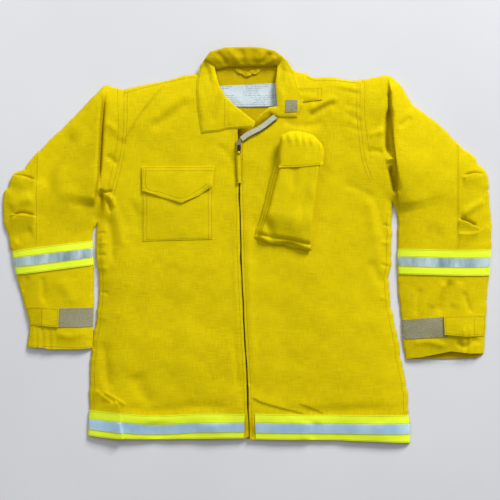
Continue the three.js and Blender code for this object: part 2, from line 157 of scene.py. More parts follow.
# %% Edges of the coat as it lies
right_shoulder = curve("-63,336 -76,330 -97,325 -121,322 -151,313 -189,306 -225,298 -236,295")
right_armhole = curve("""
    -236,295 -236,255 -236,221 -238,198 -242,174 -245,151 -251,133 -258,102 -264,86 -271,72 -277,55 -285,40""")
right_side = curve("""
    -285,40 -287,20 -287,-8 -285,-39 -281,-78 -285,-129 -290,-159 -296,-204 -299,-249 -299,-307 -302,-360""")
right_hem = curve("-302,-360 -277,-363 -240,-366 -174,-367 -89,-366 -7,-365")
left_shoulder = curve("67,341 91,330 112,325 125,318 146,319 166,318 196,313 217,314")
left_armhole = curve("217,314 216,283 215,251 219,207 225,163 232,133 245,114 259,99 274,81")
left_side = curve("274,81 274,57 272,10 272,-39 267,-69 272,-114 281,-159 292,-219 300,-262 305,-307 308,-374")
left_hem = curve("308,-374 249,-372 174,-369 99,-368 16,-367")
right_sleeve_outer = curve("""
    -236,295 -255,300 -270,304 -285,290 -315,258 -345,228 -375,199 -390,183 -401,174 -417,155 -424,144 -440,138
    -450,123 -453,111 -462,99 -462,48 -453,18 -450,-7 -446,-11 -434,-74 -422,-114 -413,-151 -418,-192""")
right_cuff = points("-418,-192 -386,-193 -377,-196 -321,-196 -293,-194")
right_sleeve_inner = curve("-293,-194 -292,-116 -291,-39 -293,-7 -293,25 -285,40")
left_sleeve_outer = curve("""
    217,314 232,317 267,322 290,303 307,275 322,260 364,228 407,185 430,168 437,153 452,140 458,111 456,102 462,42
    461,-7 458,-56 453,-99 453,-129 450,-170 448,-204""")
left_cuff = points("448,-204 433,-213 400,-214 300,-215")
left_cuff_front = points("448,-203 420,-204 384,-200 330,-211 300,-215")
left_sleeve_inner = curve("300,-215 294,-176 292,-144 289,-114 285,-69 285,-7 284,57 274,81")


def puckered(line, high, seed):
    """An edge that wanders a little, as a sewn edge does, with its ends kept."""
    line = spaced(line, 5.0)
    rng = np.random.default_rng(seed)
    run = np.arange(len(line)) * 5.0
    off = sum(rng.uniform(0.4, 1.0) * np.sin(run * math.tau / span + rng.uniform(0, 6)) for span in (94, 52, 31, 19))
    ends = ease(run / 25) * ease((run[-1] - run) / 25)
    return beside(line, off * high * ends * 0.5)


# how far each edge wanders, in millimetres, and the number its wandering is drawn with
right_side = puckered(right_side, 1.5, 3)
left_side = puckered(left_side, 1.3, 4)
right_sleeve_outer = puckered(right_sleeve_outer, 0.8, 5)
left_sleeve_outer = puckered(left_sleeve_outer, 0.8, 6)
right_sleeve_inner = puckered(right_sleeve_inner, 0.9, 7)
left_sleeve_inner = puckered(left_sleeve_inner, 0.9, 8)
right_hem = puckered(right_hem, 0.7, 9)
left_hem = puckered(left_hem, 0.7, 10)
print("hem", round(length_of(right_hem) + length_of(left_hem)), "mm")

# %% [markdown]
# ## The zip's line
# The zip runs nearly straight down the front but leans a little, and the cloth lets it bow. The slider's track in the
# CAD model is straight, so the bow is nothing at its two ends.

# %% Where the zip lies


def centre_of(node):
    """The middle of a CAD piece's box, in millimetres."""
    low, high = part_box(node)
    return (np.array(low) + np.array(high)) / 2 / MM


zip_top = centre_of("zipper_slider")[:2]
zip_end = centre_of("zipper_bottom_box")[:2]
ZIP_BOW = 3.4  # how far the zip bows sideways, in millimetres
BOW_ENDS = 0.9  # share of the way down at which the zip is straight again


def zip_x(y):
    """The zip's middle at a height y."""
    y = np.asarray(y, float)
    t = (zip_top[1] - y) / (zip_top[1] - zip_end[1])
    straight = zip_top[0] + t * (zip_end[0] - zip_top[0])
    return straight - ZIP_BOW * np.sin(np.pi * np.clip(t / BOW_ENDS, 0, 1))


print("zip from", zip_top.round(1), "to", zip_end.round(1))

# %% [markdown]
# ## Folds
# Cloth that lies on a floor is nearly flat, and its look comes from the few places where it isn't: the sleeve heads
# folded over, the tucks at the elbows, the ripples above the stiff trim. Each fold is a line with a height and a
# width. A ridge is the same on both sides, and a step stands high on its left and drops sharply on its right.
# A simulation could find folds too, but these have to be the ones this coat has, so they are placed one by one.

# %% The folds, one by one
# Each row: height, width on the high side, width on the sharp side (0 for a ridge), and the line.
FOLDS = """
# sleeve heads folded over the armhole strip
8.5 42 2.2 268,319 270,274 272,236 275,198 279,163 282,133 284,86 290,60
8.5 42 2.2 -290,72 -284,112 -281,151 -279,198 -276,255 -273,289 -270,302
# the dark crease on the low side of each sleeve head
-5.2 2.8 0 -281,108 -279,140 -276,198 -272,256 -269,292
-4.5 3.2 0 268,296 268,262 270,236
# hollow between the right sleeve and the armhole, below the strip's curl
-7.5 6.5 0 -281,106 -276,86 -280,64 -288,42
-2.6 3.4 0 -270,92 -262,78 -258,60
2.0 4 0 -264,96 -254,84 -250,70
-2.4 2.6 0 -281,106 -268,100 -254,104
# hollows between the left sleeve and the armhole
-9 6.0 0 268,262 266,232 265,205 266,186 270,168
-9 5.5 0 268,152 274,134 279,112 281,96
3.2 4 0 262,158 270,163 279,160
# elbow tucks
3.2 13 1.5 -398,121 -424,126 -446,133
3.2 14 1.5 -398,53 -424,56 -448,58
-2.6 2.2 0 -400,124 -424,132 -446,134
-2.8 2.2 0 -400,57 -428,62 -450,50
-2.4 2.2 0 448,135 428,137 407,132
-3.4 2.2 0 434,36 415,47 399,51
2.6 11 0 -402,92 -428,84 -452,70
-2.2 10 0 -404,30 -425,22 -440,6
3.0 12 1.5 452,138 430,133 405,128
3.6 12 1.5 438,30 415,43 397,48
3.2 13 2.2 459,36 428,22 398,22
2.6 7 0 401,54 422,70 452,88
# long soft folds of the sleeves
-3.4 13 0 -388,104 -371,146 -349,183 -322,221
2.2 15 0 -368,96 -350,140 -326,178 -300,226
1.8 22 0 -300,30 -330,80 -345,120
-1.8 6 0 283,221 296,232 311,243
1.8 24 0 300,60 316,130 336,190
1.4 20 0 352,20 368,90 388,150
# forearms
-1.6 5 0 317,-136 321,-106 328,-78
-2.3 6 0 358,-131 369,-102 386,-62
1.6 8 0 345,-120 356,-95 372,-66
-1.8 4.5 0 407,-84 415,-110 424,-131
1.7 8 0 388,-120 396,-92 404,-66
-1.8 5 0 -413,-57 -420,-72 -428,-89
-1.5 6 0 -388,-55 -386,-84 -384,-112
1.3 12 0 -350,-60 -340,-88 -322,-112
# from the shoulders down to the armholes
1.9 26 5 -236,193 -208,242 -180,279 -153,311
-2.0 10 0 -99,277 -127,258 -155,238 -187,217
1.7 12 0 -102,292 -130,274 -158,252 -190,226
-1.5 5 0 150,302 180,294 218,284
1.6 7 0 150,303 180,298 214,295
-2.4 5.5 0 112,240 140,258 172,273
2.2 8 0 112,252 140,268 170,282
-0.8 5 0 180,250 200,242 218,230
-0.7 5 0 182,228 202,219 222,215
-0.6 5 0 180,268 204,260 220,257
# under the arms
1.7 9 0 -262,78 -250,60 -240,30 -236,-10
-1.9 7 0 -272,60 -262,38 -256,0 -255,-40
1.3 6 0 -280,30 -272,-10 -272,-60
-1.9 8 0 242,92 251,50 259,5 258,-40
1.8 11 0 226,96 236,50 242,0
1.5 6 0 262,60 268,20 268,-20
-1.8 9 0 232,-25 242,-50 258,-80
# puckers along the side seams
-1.6 3.2 0 -268,26 -279,22 -286,20
1.4 3.5 0 -264,6 -276,4 -285,1
-1.3 3.2 0 -266,-20 -276,-18 -284,-20
1.3 4 0 -262,-44 -274,-42 -283,-46
-1.2 3.5 0 -262,-92 -273,-88 -281,-90
1.2 4 0 -262,-140 -276,-136 -285,-140
-1.5 3.2 0 256,40 264,37 272,38
1.2 3.6 0 252,8 262,5 271,6
-1.4 3.4 0 250,-34 260,-38 270,-40
1.3 4 0 248,-96 258,-100 270,-102
1.5 6 0 226,206 246,214 262,214
-1.2 5 0 224,176 244,178 258,170
-1.4 5 0 -246,150 -258,164 -270,168
1.2 6 0 -246,214 -258,226 -270,228
# drag lines across the chest
-0.9 8 0 176,118 210,106 244,84
-0.8 8 0 -228,90 -210,60 -206,20
-1.2 7 0 60,240 86,228 120,226 150,236
-0.8 7 0 -60,190 -40,176 -24,150
# down the body
-2.2 9 0 -272,-178 -269,-225 -262,-277
-1.9 15 0 -213,-238 -200,-272 -180,-308
0.9 30 0 -120,-120 -116,-220 -110,-300
0.9 26 0 -230,10 -232,-80 -236,-170
0.9 28 0 128,20 136,-90 140,-210
-0.9 22 0 205,30 212,-60 222,-150
-0.7 24 0 70,-60 72,-160 76,-250
# ripples above the hem trim
2.0 9 2.2 -255,-297 -270,-287 -287,-274
2.4 9 2.2 -230,-300 -251,-287 -270,-277
3.4 24 1.8 -236,-372 -241,-330 -242,-313 -248,-292
-1.4 10 0 -250,-302 -180,-312 -90,-305 -20,-309
-1.5 22 0 -176,-330 -174,-372
1.0 26 0 -60,-330 -58,-372
1.3 12 2.6 8,-284 24,-293 46,-300 86,-311 110,-316
0.9 12 2.8 96,-296 121,-305 146,-317
-1.2 9 0 40,-306 120,-313 230,-308 296,-312
1.2 14 0 112,-330 108,-372
-1.1 9 0 130,-330 124,-372
0.9 22 0 240,-330 242,-372
# beside the zip
0.9 7 0 -22,90 -20,-40 -14,-180
0.9 7 0 0,100 2,-40 8,-180 14,-280
-1.0 6 0 -28,-150 -22,-220 -16,-280
1.2 8 2.0 3,-300 5,-285 3,-262
# cuffs, gathered below the tab
1.0 6 0 -300,-160 -330,-172 -366,-166
-2.2 5 0 392,-178 410,-192 428,-180 446,-186
1.4 6 0 310,-188 340,-182 380,-192
"""
# (x of the row, width, height), on the cuffs only
cuff_gathers = [(-404, 7, 2.4), (-393.5, 6, 2.9), (-381, 8, 2.1), (-368, 6, 1.6),
                (408, 8, 2.2), (420, 6, 2.6), (435, 9, 1.9)]
FOLD_GAIN = {"ridge": 1.75, "step": 1.45}  # one knob for how rumpled the coat lies
fold_lines = []
for fold in FOLDS.strip().splitlines():
    if not fold.startswith("#"):
        high, wide, sharp, line = fold.split(" ", 3)
        kind = "step" if float(sharp) else "ridge"
        fold_lines.append((kind, curve(line), float(high) * FOLD_GAIN[kind], float(wide), float(sharp)))
print(len(fold_lines), "folds placed")

# %% [markdown]
# ## Height of the cloth
# One function gives the height of the upper layer anywhere on the coat. Panels, trim, pockets and stitches all ask
# it, so they lie on each other without cutting in. Near a closed edge the cloth rolls down to the floor, near an open
# edge it only sinks, and long low waves with fixed directions keep large areas from looking pressed.

# %% The upper layer's height
closed_edges = [right_shoulder, right_sleeve_outer, right_sleeve_inner, right_side,
                left_shoulder, left_sleeve_outer, left_sleeve_inner, left_side]
open_edges = [right_hem, left_hem, right_cuff, left_cuff]
FLOOR_GAP = 1.5  # lowest the upper layer comes
EDGE_ROLL = 2.4  # height of the folded edge itself
EDGE_RADIUS = 3.2  # how far in the folded edge is round
AIR = 11.5  # how far the upper layer lifts away from the edges
AIR_REACH = 26.0
OPEN_EDGE = 6.5  # height at an open edge
OPEN_SINK = 0.9
SINK_REACH = 30.0
WAVE_SHARE = 0.6
LEAST_RISE = 2.2  # keeps the cloth off the layer below
SLIDER_CLEAR = 15.9  # cloth beside the zip stays under the slider
TRACK_HALF = 7  # half the width of the slider's track
TRACK_SLOPE = 0.25
CUFF_TOP = -150  # the gathers lie below this line

waves = []
draw = np.random.default_rng(7)
for wavelength, high, count in ((150, 0.75, 7), (62, 0.26, 9), (27, 0.06, 10)):
    for _ in range(count):
        angle = draw.uniform(0, math.tau)
        turns = math.tau / (wavelength * draw.uniform(0.75, 1.3))
        waves.append((turns * math.cos(angle), turns * math.sin(angle), draw.uniform(0, math.tau), high))


def nearest(spots, lines):
    """Distance from each point to the nearest of some lines."""
    return np.min([measure_from(spots, line)[0] for line in lines], axis=0)


def rounded(edge, radius):
    """A quarter round: 0 on an edge and 1 from the radius inwards."""
    return np.sqrt(np.clip(1 - (1 - np.minimum(edge / radius, 1)) ** 2, 0, 1))


def near_fold(spots, line, reach):
    """True for the points near enough to a fold to feel it."""
    middle, half = (line.min(0) + line.max(0)) / 2, (line.max(0) - line.min(0)) / 2
    return (np.abs(spots - middle) < half + reach).all(1)


def fades_out(along, share, start=0.0):
    """1 along a line, easing to nothing over a share of it at each end."""
    return ease(along / share + start) * ease((1 - along) / share + start)


def upper(spots):
    """Height of the upper layer of cloth at each (x, y), in millimetres."""
    p = np.asarray(spots, float)
    edge = nearest(p, closed_edges)
    roll = rounded(edge, EDGE_RADIUS)
    lift = 1 - np.exp(-edge / AIR_REACH)
    z = FLOOR_GAP + EDGE_ROLL * roll + AIR * lift
    sink = np.exp(-((nearest(p, open_edges) / SINK_REACH) ** 2))
    z = z + (OPEN_EDGE - z) * sink * lift * OPEN_SINK
    extra = np.zeros(len(p))
    for kind, line, high, wide, sharp in fold_lines:
        near = near_fold(p, line, 3.2 * max(wide, sharp))
        if not near.any():
            continue
        d, along, side = measure_from(p[near], line)
        if kind == "ridge":
            extra[near] += high * fades_out(along, 0.22) * np.exp(-((d / wide) ** 2))
        else:
            gentle, steep = np.exp(-((d / wide) ** 1.5)), np.exp(-((d / sharp) ** 2))
            extra[near] += high * fades_out(along, 0.1, 0.15) * np.where(side > 0, gentle, steep)
    for x0, wide, high in cuff_gathers:
        rows = np.exp(-(((p[:, 0] - x0) / wide * 2) ** 2)) * ease((CUFF_TOP - p[:, 1]) / 12)
        extra += high * rows * (p[:, 1] < CUFF_TOP)
    for kx, ky, start, high in waves:
        extra += high * np.sin(kx * p[:, 0] + ky * p[:, 1] + start) * WAVE_SHARE
    z = z + extra * np.clip(roll * (0.25 + 0.75 * lift), 0, 1)
    z = np.maximum(z, FLOOR_GAP + LEAST_RISE * roll)
    beside_track = np.maximum(np.abs(p[:, 0] - zip_x(p[:, 1])) - TRACK_HALF, 0)
    return np.minimum(z, SLIDER_CLEAR + beside_track * TRACK_SLOPE)


def crease_shade(spots):
    """How deep in a crease each point is, from 0 to 1. The cloth's colour is darkened there as painted shade."""
    p = np.asarray(spots, float)
    dark = np.zeros(len(p))
    for kind, line, high, wide, sharp in fold_lines:
        near = near_fold(p, line, 14)
        shallow = kind == "ridge" and not (high < -4 and wide < 9)
        if shallow or not near.any():
            continue
        d, along, side = measure_from(p[near], line)
        if kind == "step":
            here = min(high / 6, 1) * np.exp(-(((-side * d - 1.3) / 2.3) ** 2))
        else:
            here = min(-high / 9, 1) * np.exp(-((d / (wide * 0.75)) ** 2))
        dark[near] = np.maximum(dark[near], here * fades_out(along, 0.15))
    return np.clip(dark, 0, 1)


def above(lift):
    """A height a little above the coat's upper layer."""
    return lambda spots: upper(spots) + lift


def flat_at(level):
    return lambda spots: np.full(len(spots), level)


probe = upper(points("-150,0 150,0 -360,60 -284,150 -270,150"))
print("height at some places, mm", probe.round(1))

# %% [markdown]
# ## Cutting cloth
# A panel is a flat outline filled with small triangles. Blender's constrained Delaunay triangulation keeps the
# outline exact and lets the points crowd together beside seams and sharp folds, where the shape needs them. Each
# point is then lifted to its height, and a second layer a cloth's thickness below closes the sheet.

# %% Cut a panel
GRID = 3.6
sharp_folds = [f[1] for f in fold_lines if f[0] == "step" or f[3] < 4]
EDGE_ROWS = (-6.5, -4.0, -2.4, -1.2, 1.2, 2.4, 4.0, 6.5)
CREASE_ROWS = (-4.2, -2.2, -1.0, 0.0, 1.2, 3.0)


def inside(spots, outline):
    """True for each point inside the closed outline."""
    x, y = spots[:, 0], spots[:, 1]
    result = np.zeros(len(spots), bool)
    ax, ay = outline[:, 0], outline[:, 1]
    bx, by = np.roll(ax, -1), np.roll(ay, -1)
    for x0, y0, x1, y1 in zip(ax, ay, bx, by):
        if y0 != y1:
            crosses = ((y0 > y) != (y1 > y)) & (x < (x1 - x0) * (y - y0) / (y1 - y0) + x0)
            result ^= crosses
    return result


def closed_points(outline, step):
    """Points along a closed outline, its corners kept."""
    line = [tuple(p) for p in outline]
    keep = [line[0]]
    for p in line[1:]:
        if math.dist(p, keep[-1]) > 0.4:
            keep.append(p)
    if math.dist(keep[0], keep[-1]) < 0.4:
        keep.pop()
    out = []
    for a, b in zip(keep, keep[1:] + keep[:1]):
        n = max(int(round(math.dist(a, b) / step)), 1)
        out += [(a[0] + (b[0] - a[0]) * k / n, a[1] + (b[1] - a[1]) * k / n) for k in range(n)]
    return np.array(out)


def clear_of(spots, others, reach):
    """The points that are at least a reach away from all the others."""
    if not len(others) or not len(spots):
        return spots
    cell_of = lambda q: (int(q[0] // reach), int(q[1] // reach))
    taken = {}
    for q in others:
        taken.setdefault(cell_of(q), []).append(q)
    kept = []
    for q in spots:
        i, j = cell_of(q)
        around = (r for di in (-1, 0, 1) for dj in (-1, 0, 1) for r in taken.get((i + di, j + dj), ()))
        if not any((q[0] - r[0]) ** 2 + (q[1] - r[1]) ** 2 < reach * reach for r in around):
            kept.append(q)
    return np.array(kept).reshape(-1, 2)


def fill(outline, step, fine=(), rolled=False):
    """Triangles that fill an outline: points (mm) and faces. Rows of points follow the fine lines, and the coat's
    edges too on a rolled piece."""
    rim = closed_points(outline, step)
    low, high = rim.min(0), rim.max(0)
    extra = [beside(spaced(line, 2.6), off) for line in fine for off in CREASE_ROWS]
    if rolled:
        extra += [beside(spaced(line, 3.2), off) for line in closed_edges for off in EDGE_ROWS]
    rows = np.vstack(extra) if extra else np.zeros((0, 2))
    rows = clear_of(rows[inside(rows, rim)], rim, 1.1)
    gx = np.arange(low[0] + step / 2, high[0], step)
    gy = np.arange(low[1] + step / 2, high[1], step * 0.87)
    xx, yy = np.meshgrid(gx, gy)
    xx = xx + (np.arange(len(gy)) % 2)[:, None] * step / 2
    cells = np.column_stack([xx.ravel(), yy.ravel()])
    cells = clear_of(clear_of(cells[inside(cells, rim)], rim, step * 0.55), rows, step * 0.5)
    edges = [(i, (i + 1) % len(rim)) for i in range(len(rim))]
    made = delaunay_2d_cdt([Vector(p) for p in np.vstack([rim, rows, cells])], edges, [], 1, 1e-5)
    return np.array([tuple(v) for v in made[0]]), [tuple(f) for f in made[2]]


def new_piece(name, vertices, faces, finish, weave=None, smooth=True, crease=None):
    """A mesh object from millimetre points, with its weave direction kept as a UV map."""
    mesh = bpy.data.meshes.new(name)
    metres = [tuple(float(c) * MM for c in v) for v in vertices]
    mesh.from_pydata(metres, [], [tuple(map(int, f)) for f in faces])
    mesh.update()
    flat = np.array(vertices, float)[:, :2] if weave is None else np.array(weave, float)
    layer = mesh.uv_layers.new(name="weave")
    loops = np.empty(len(mesh.loops), np.int32)
    mesh.loops.foreach_get("vertex_index", loops)
    layer.data.foreach_set("uv", (flat[loops] * MM).astype(np.float32).ravel())
    # The crease attribute is painted shade: the woven finish darkens the colour with it.
    if crease is not None:
        layer = mesh.attributes.new("crease", "FLOAT", "POINT")
        layer.data.foreach_set("value", np.asarray(crease, np.float32))
    if smooth:
        mesh.polygons.foreach_set("use_smooth", np.ones(len(mesh.polygons), bool))
        mesh.set_sharp_from_angle(angle=math.radians(55))
    piece = bpy.data.objects.new(name, mesh)
    bpy.context.scene.collection.objects.link(piece)
    piece.data.materials.append(finish)
    return piece


def thicken(points3, faces, thick):
    """A closed sheet: the surface given, a second one below it, and a rim that joins them."""
    v = np.array(points3, float)
    f = np.array(faces)
    normal = np.zeros_like(v)
    cross = np.cross(v[f[:, 1]] - v[f[:, 0]], v[f[:, 2]] - v[f[:, 0]])
    for k in range(3):
        np.add.at(normal, f[:, k], cross)
    if normal[:, 2].sum() < 0:
        f, normal = f[:, ::-1], -normal
    normal /= np.maximum(np.linalg.norm(normal, axis=1, keepdims=True), 1e-9)
    below = v - normal * thick
    n = len(v)
    edges = dict.fromkeys((t[k], t[(k + 1) % 3]) for t in f for k in range(3))
    side = [(b, a, a + n, b + n) for a, b in edges if (b, a) not in edges]
    return np.vstack([v, below]), [tuple(t) for t in f] + [tuple(t[::-1] + n) for t in f] + side


def cut_cloth(name, outline, height, finish, thick=0.9, step=GRID, fine=(), turn=0.0, rolled=False, dark=None):
    """A sheet of cloth cut to an outline and laid at height(points). dark adds to its painted crease shade."""
    flat, faces = fill(np.array(outline, float), step, fine, rolled)
    top = np.column_stack([flat, height(flat)])
    vertices, all_faces = thicken(top, faces, thick)
    weave = vertices[:, :2]
    if turn:
        c, s = math.cos(turn), math.sin(turn)
        weave = weave @ np.array([[c, -s], [s, c]])
    # painted shade along the coat's folds, plus any extra given as dark
    mask = crease_shade(flat) if rolled else np.zeros(len(flat))
    if dark is not None:
        mask = np.clip(mask + dark(flat), 0, 1)
    return new_piece(name, vertices, all_faces, finish, weave, crease=np.tile(mask, 2))


print("cloth is cut on a", GRID, "mm grid")

# %% [markdown]
# ## Shading helpers
# The coat's finishes are all built from nodes. A short helper places a node and sets its values by name, so that
# each recipe below reads as a list of what goes into it.

# %% Node helpers


def srgb(r, g, b):
    """A colour given in 0-255 display values, as Blender's linear numbers."""
    return tuple(((c / 255 + 0.055) / 1.055) ** 2.4 if c > 10 else c / 255 / 12.92 for c in (r, g, b)) + (1.0,)


def feed(tree, node, **inputs):
    """Give a node's sockets values or links. An underscore stands for a space, and S6 for socket number 6."""
    for key, value in inputs.items():
        numbered = key[0] == "S" and key[1:].isdigit()
        socket = node.inputs[int(key[1:]) if numbered else key.replace("_", " ")]
        if isinstance(value, bpy.types.NodeSocket):
            tree.links.new(value, socket)
        else:
            socket.default_value = value
    return node


def put(tree, kind, **inputs):
    """Place a node and give its outputs; plain names set its properties, and names with a capital feed it."""
    node = tree.nodes.new("ShaderNode" + kind)
    for key in [k for k in inputs if k[0].islower()]:
        setattr(node, key, inputs.pop(key))
    return feed(tree, node, **inputs).outputs


def use_group(tree, group, **inputs):
    node = tree.nodes.new("ShaderNodeGroup")
    node.node_tree = group
    return feed(tree, node, **inputs).outputs


def new_group(name, inputs, outputs):
    """An empty node group with named sockets: (name, socket type, starting value)."""
    group = bpy.data.node_groups.new(name, "ShaderNodeTree")
    for label, kind, value in inputs:
        socket = group.interface.new_socket(label, in_out="INPUT", socket_type="NodeSocket" + kind)
        if value is not None:
            socket.default_value = value
    for label in outputs:
        group.interface.new_socket(label, in_out="OUTPUT", socket_type="NodeSocketFloat")
    return group, group.nodes.new("NodeGroupInput").outputs, group.nodes.new("NodeGroupOutput")


def mix_colour(tree, share, a, b):
    return put(tree, "Mix", data_type="RGBA", S0=share, S6=a, S7=b)[2]


def sums(tree, how, a, b):
    return put(tree, "Math", operation=how, S0=a, S1=b)[0]


def times(tree, a, b):
    return sums(tree, "MULTIPLY", a, b)


def new_finish(name, object_space=False):
    """A material, its nodes, its shader, and the coordinates that its pattern lies in."""
    material = bpy.data.materials.new(name)
    material.use_nodes = True
    tree = material.node_tree
    place = put(tree, "TexCoord")["Object"] if object_space else put(tree, "UVMap", uv_map="weave")[0]
    return material, tree, tree.nodes["Principled BSDF"], place


print("the cloth's yellow, as the shader counts it", [round(c, 3) for c in srgb(244, 221, 3)])

# %% [markdown]
# ## Weave, as one shared group
# Turnout cloth is a plain weave of aramid yarn. Two crossed rows of threads make the bump, and long thin noise makes
# the slubs, the thicker stretches of yarn that show as faint streaks. It is one node group, because the shell, the
# trim, the tape and the label are all woven: each material only gives its own thread pitch and strength.

# %% The weave group
WAVE_PITCH = math.tau / 20  # a wave texture repeats this far apart at scale 1
weave_group, given, result = new_group(
    "Weave",
    [("Place", "Vector", None), ("Threads per metre", "Float", 1700.0), ("Slub", "Float", 1.0)],
    ["Height", "Tone"],
)
thread_scale = times(weave_group, given["Threads per metre"], WAVE_PITCH)
warp, weft = (
    put(weave_group, "TexWave", bands_direction=way, Vector=given["Place"], Scale=thread_scale, Distortion=0.6,
        Detail=1.0)[1] for way in "XY")
threads = times(weave_group, warp, weft)
streaks = []
for stretch in ((760.0, 46.0, 1.0), (38.0, 700.0, 1.0)):
    turned = put(weave_group, "Mapping", Vector=given["Place"], Scale=stretch)[0]
    noise = put(weave_group, "TexNoise", Vector=turned, Scale=1.0, Detail=3.0, Roughness=0.62)[0]
    streaks.append(times(weave_group, noise, 0.5))
both = sums(weave_group, "ADD", *streaks)
centred = times(weave_group, sums(weave_group, "SUBTRACT", both, 0.5), given["Slub"])
feed(weave_group, result, Tone=sums(weave_group, "ADD", centred, 0.5),
     Height=sums(weave_group, "ADD", threads, centred))
print("weave group:", len(weave_group.nodes), "nodes")

# %% [markdown]
# ## Wear, as one shared group
# A washed coat isn't one colour. It fades in broad patches, and it is rubbed and creased in small ones. The group
# gives a broad mask and a fine one, and each material decides what they do to its colour and its roughness.

# %% The wear group
wear_group, given, result = new_group(
    "Wear",
    [("Place", "Vector", None), ("Patch size", "Float", 0.16), ("Rub size", "Float", 0.02)],
    ["Fade", "Rub", "Crinkle"],
)
for label, size, detail, rough, low, high in (
        ("Fade", "Patch size", 3.0, 0.55, 0.32, 0.68), ("Rub", "Rub size", 4.0, 0.6, 0.35, 0.7)):
    patches = put(wear_group, "TexNoise", Vector=given["Place"], Scale=sums(wear_group, "DIVIDE", 1.0, given[size]),
                  Detail=detail, Roughness=rough)[0]
    feed(wear_group, result, **{label: put(wear_group, "MapRange", Value=patches, From_Min=low, From_Max=high)[0]})
crinkle = put(wear_group, "TexNoise", Vector=given["Place"], Scale=60.0, Detail=4.0, Roughness=0.5, Distortion=0.7)[0]
feed(wear_group, result, Crinkle=crinkle)
print("wear group:", len(wear_group.nodes), "nodes")

# %% [markdown]
# ## Woven finishes
# Every woven piece shares one recipe with its own colours: threads and slubs in the colour, fade and rubbing over
# them, a bump for the threads and another for small crinkles. Deep yellow cloth shows almost no grey shine, so its
# specular level is low and its sheen is tinted like the dye.

# %% A recipe for woven cloth


def woven(name, deep, light, faded, threads=1700.0, slub=1.0, crinkle=0.35, weave_bump=0.5, rough=0.85, sheen=0.15,
          shine=0.2, painted_glow=0.0):
    """Woven cloth, from the deep and the light tone of its threads and the tone that it fades to."""
    material, tree, surface, place = new_finish(name)
    weave = use_group(tree, weave_group, Place=place, Threads_per_metre=threads, Slub=slub)
    wear = use_group(tree, wear_group, Place=place)
    tone = mix_colour(tree, weave["Tone"], srgb(*deep), srgb(*light))
    worn = mix_colour(tree, times(tree, wear["Fade"], 0.5), tone, srgb(*faded))
    rubbed = mix_colour(tree, times(tree, wear["Rub"], 0.16), worn, srgb(*deep))
    # painted shade: where the crease attribute is high, the colour is mixed towards a darker tone of the cloth
    crease_shade_share = put(tree, "Attribute", attribute_name="crease")["Fac"]
    shade = srgb(deep[0] * 0.6, deep[1] * 0.52, deep[2])
    big = put(tree, "Bump", Strength=crinkle, Distance=0.004, Height=wear["Crinkle"])[0]
    feed(tree, surface,
         Base_Color=mix_colour(tree, times(tree, crease_shade_share, 0.42), rubbed, shade),
         Roughness=put(tree, "MapRange", Value=wear["Rub"], To_Min=rough - 0.06, To_Max=min(rough + 0.06, 1.0))[0],
         Normal=put(tree, "Bump", Strength=weave_bump, Distance=0.0003, Height=weave["Height"], Normal=big)[0],
         Specular_IOR_Level=shine, Sheen_Weight=sheen, Sheen_Roughness=0.5, Sheen_Tint=srgb(*light))
    # painted light: an emission makes the piece give off light of its own
    if painted_glow:
        feed(tree, surface, Emission_Color=srgb(*light), Emission_Strength=painted_glow)
    return material


shell_cloth = woven("shell_cloth", (186, 163, 0), (244, 221, 3), (224, 203, 3), slub=2.3, crinkle=0.1,
                    weave_bump=0.35, sheen=0.05, shine=0.07)
inner_cloth = woven("inner_cloth", (176, 150, 0), (224, 196, 3), (206, 180, 3), slub=1.5, crinkle=0.16,
                    sheen=0.05, shine=0.07)
# painted light: the band glows a little, standing in for its fluorescence
lime_cloth = woven("lime_trim", (212, 236, 20), (240, 255, 44), (228, 250, 44), threads=2600.0, slub=0.5,
                   crinkle=0.16, weave_bump=0.25, rough=0.6, shine=0.35, painted_glow=0.1)
label_cloth = woven("label_cloth", (190, 208, 212), (222, 234, 238), (208, 222, 226), threads=3200.0, slub=0.4,
                    crinkle=0.3, weave_bump=0.2, rough=0.6, sheen=0.0, shine=0.4)
white_tape = woven("zip_tape", (176, 178, 148), (214, 216, 192), (200, 200, 176), threads=1400.0, slub=0.8,
                   weave_bump=0.8)
# painted shade: the threads are darker than the cloth, partly their own tone and partly the shade of the seams they
# sink into
thread_look = dict(threads=2400.0, slub=0.6, crinkle=0.0, weave_bump=0.3)
shell_thread = woven("sewing_thread", (150, 128, 2), (178, 156, 4), (166, 144, 6), sheen=0.3, **thread_look)
trim_thread = woven("trim_thread", (140, 128, 8), (172, 160, 16), (156, 144, 12), sheen=0.2, **thread_look)
print("woven finishes:", len(bpy.data.materials))

# %% [markdown]
# ## Silver reflective stripe
# The stripe is fabric with a skin of tiny glass beads. In soft light it is a pale blue-grey, and its skin wrinkles
# finely across its length where the coat has been washed and folded. Bands of light and dark run across it.

# %% Reflective stripe


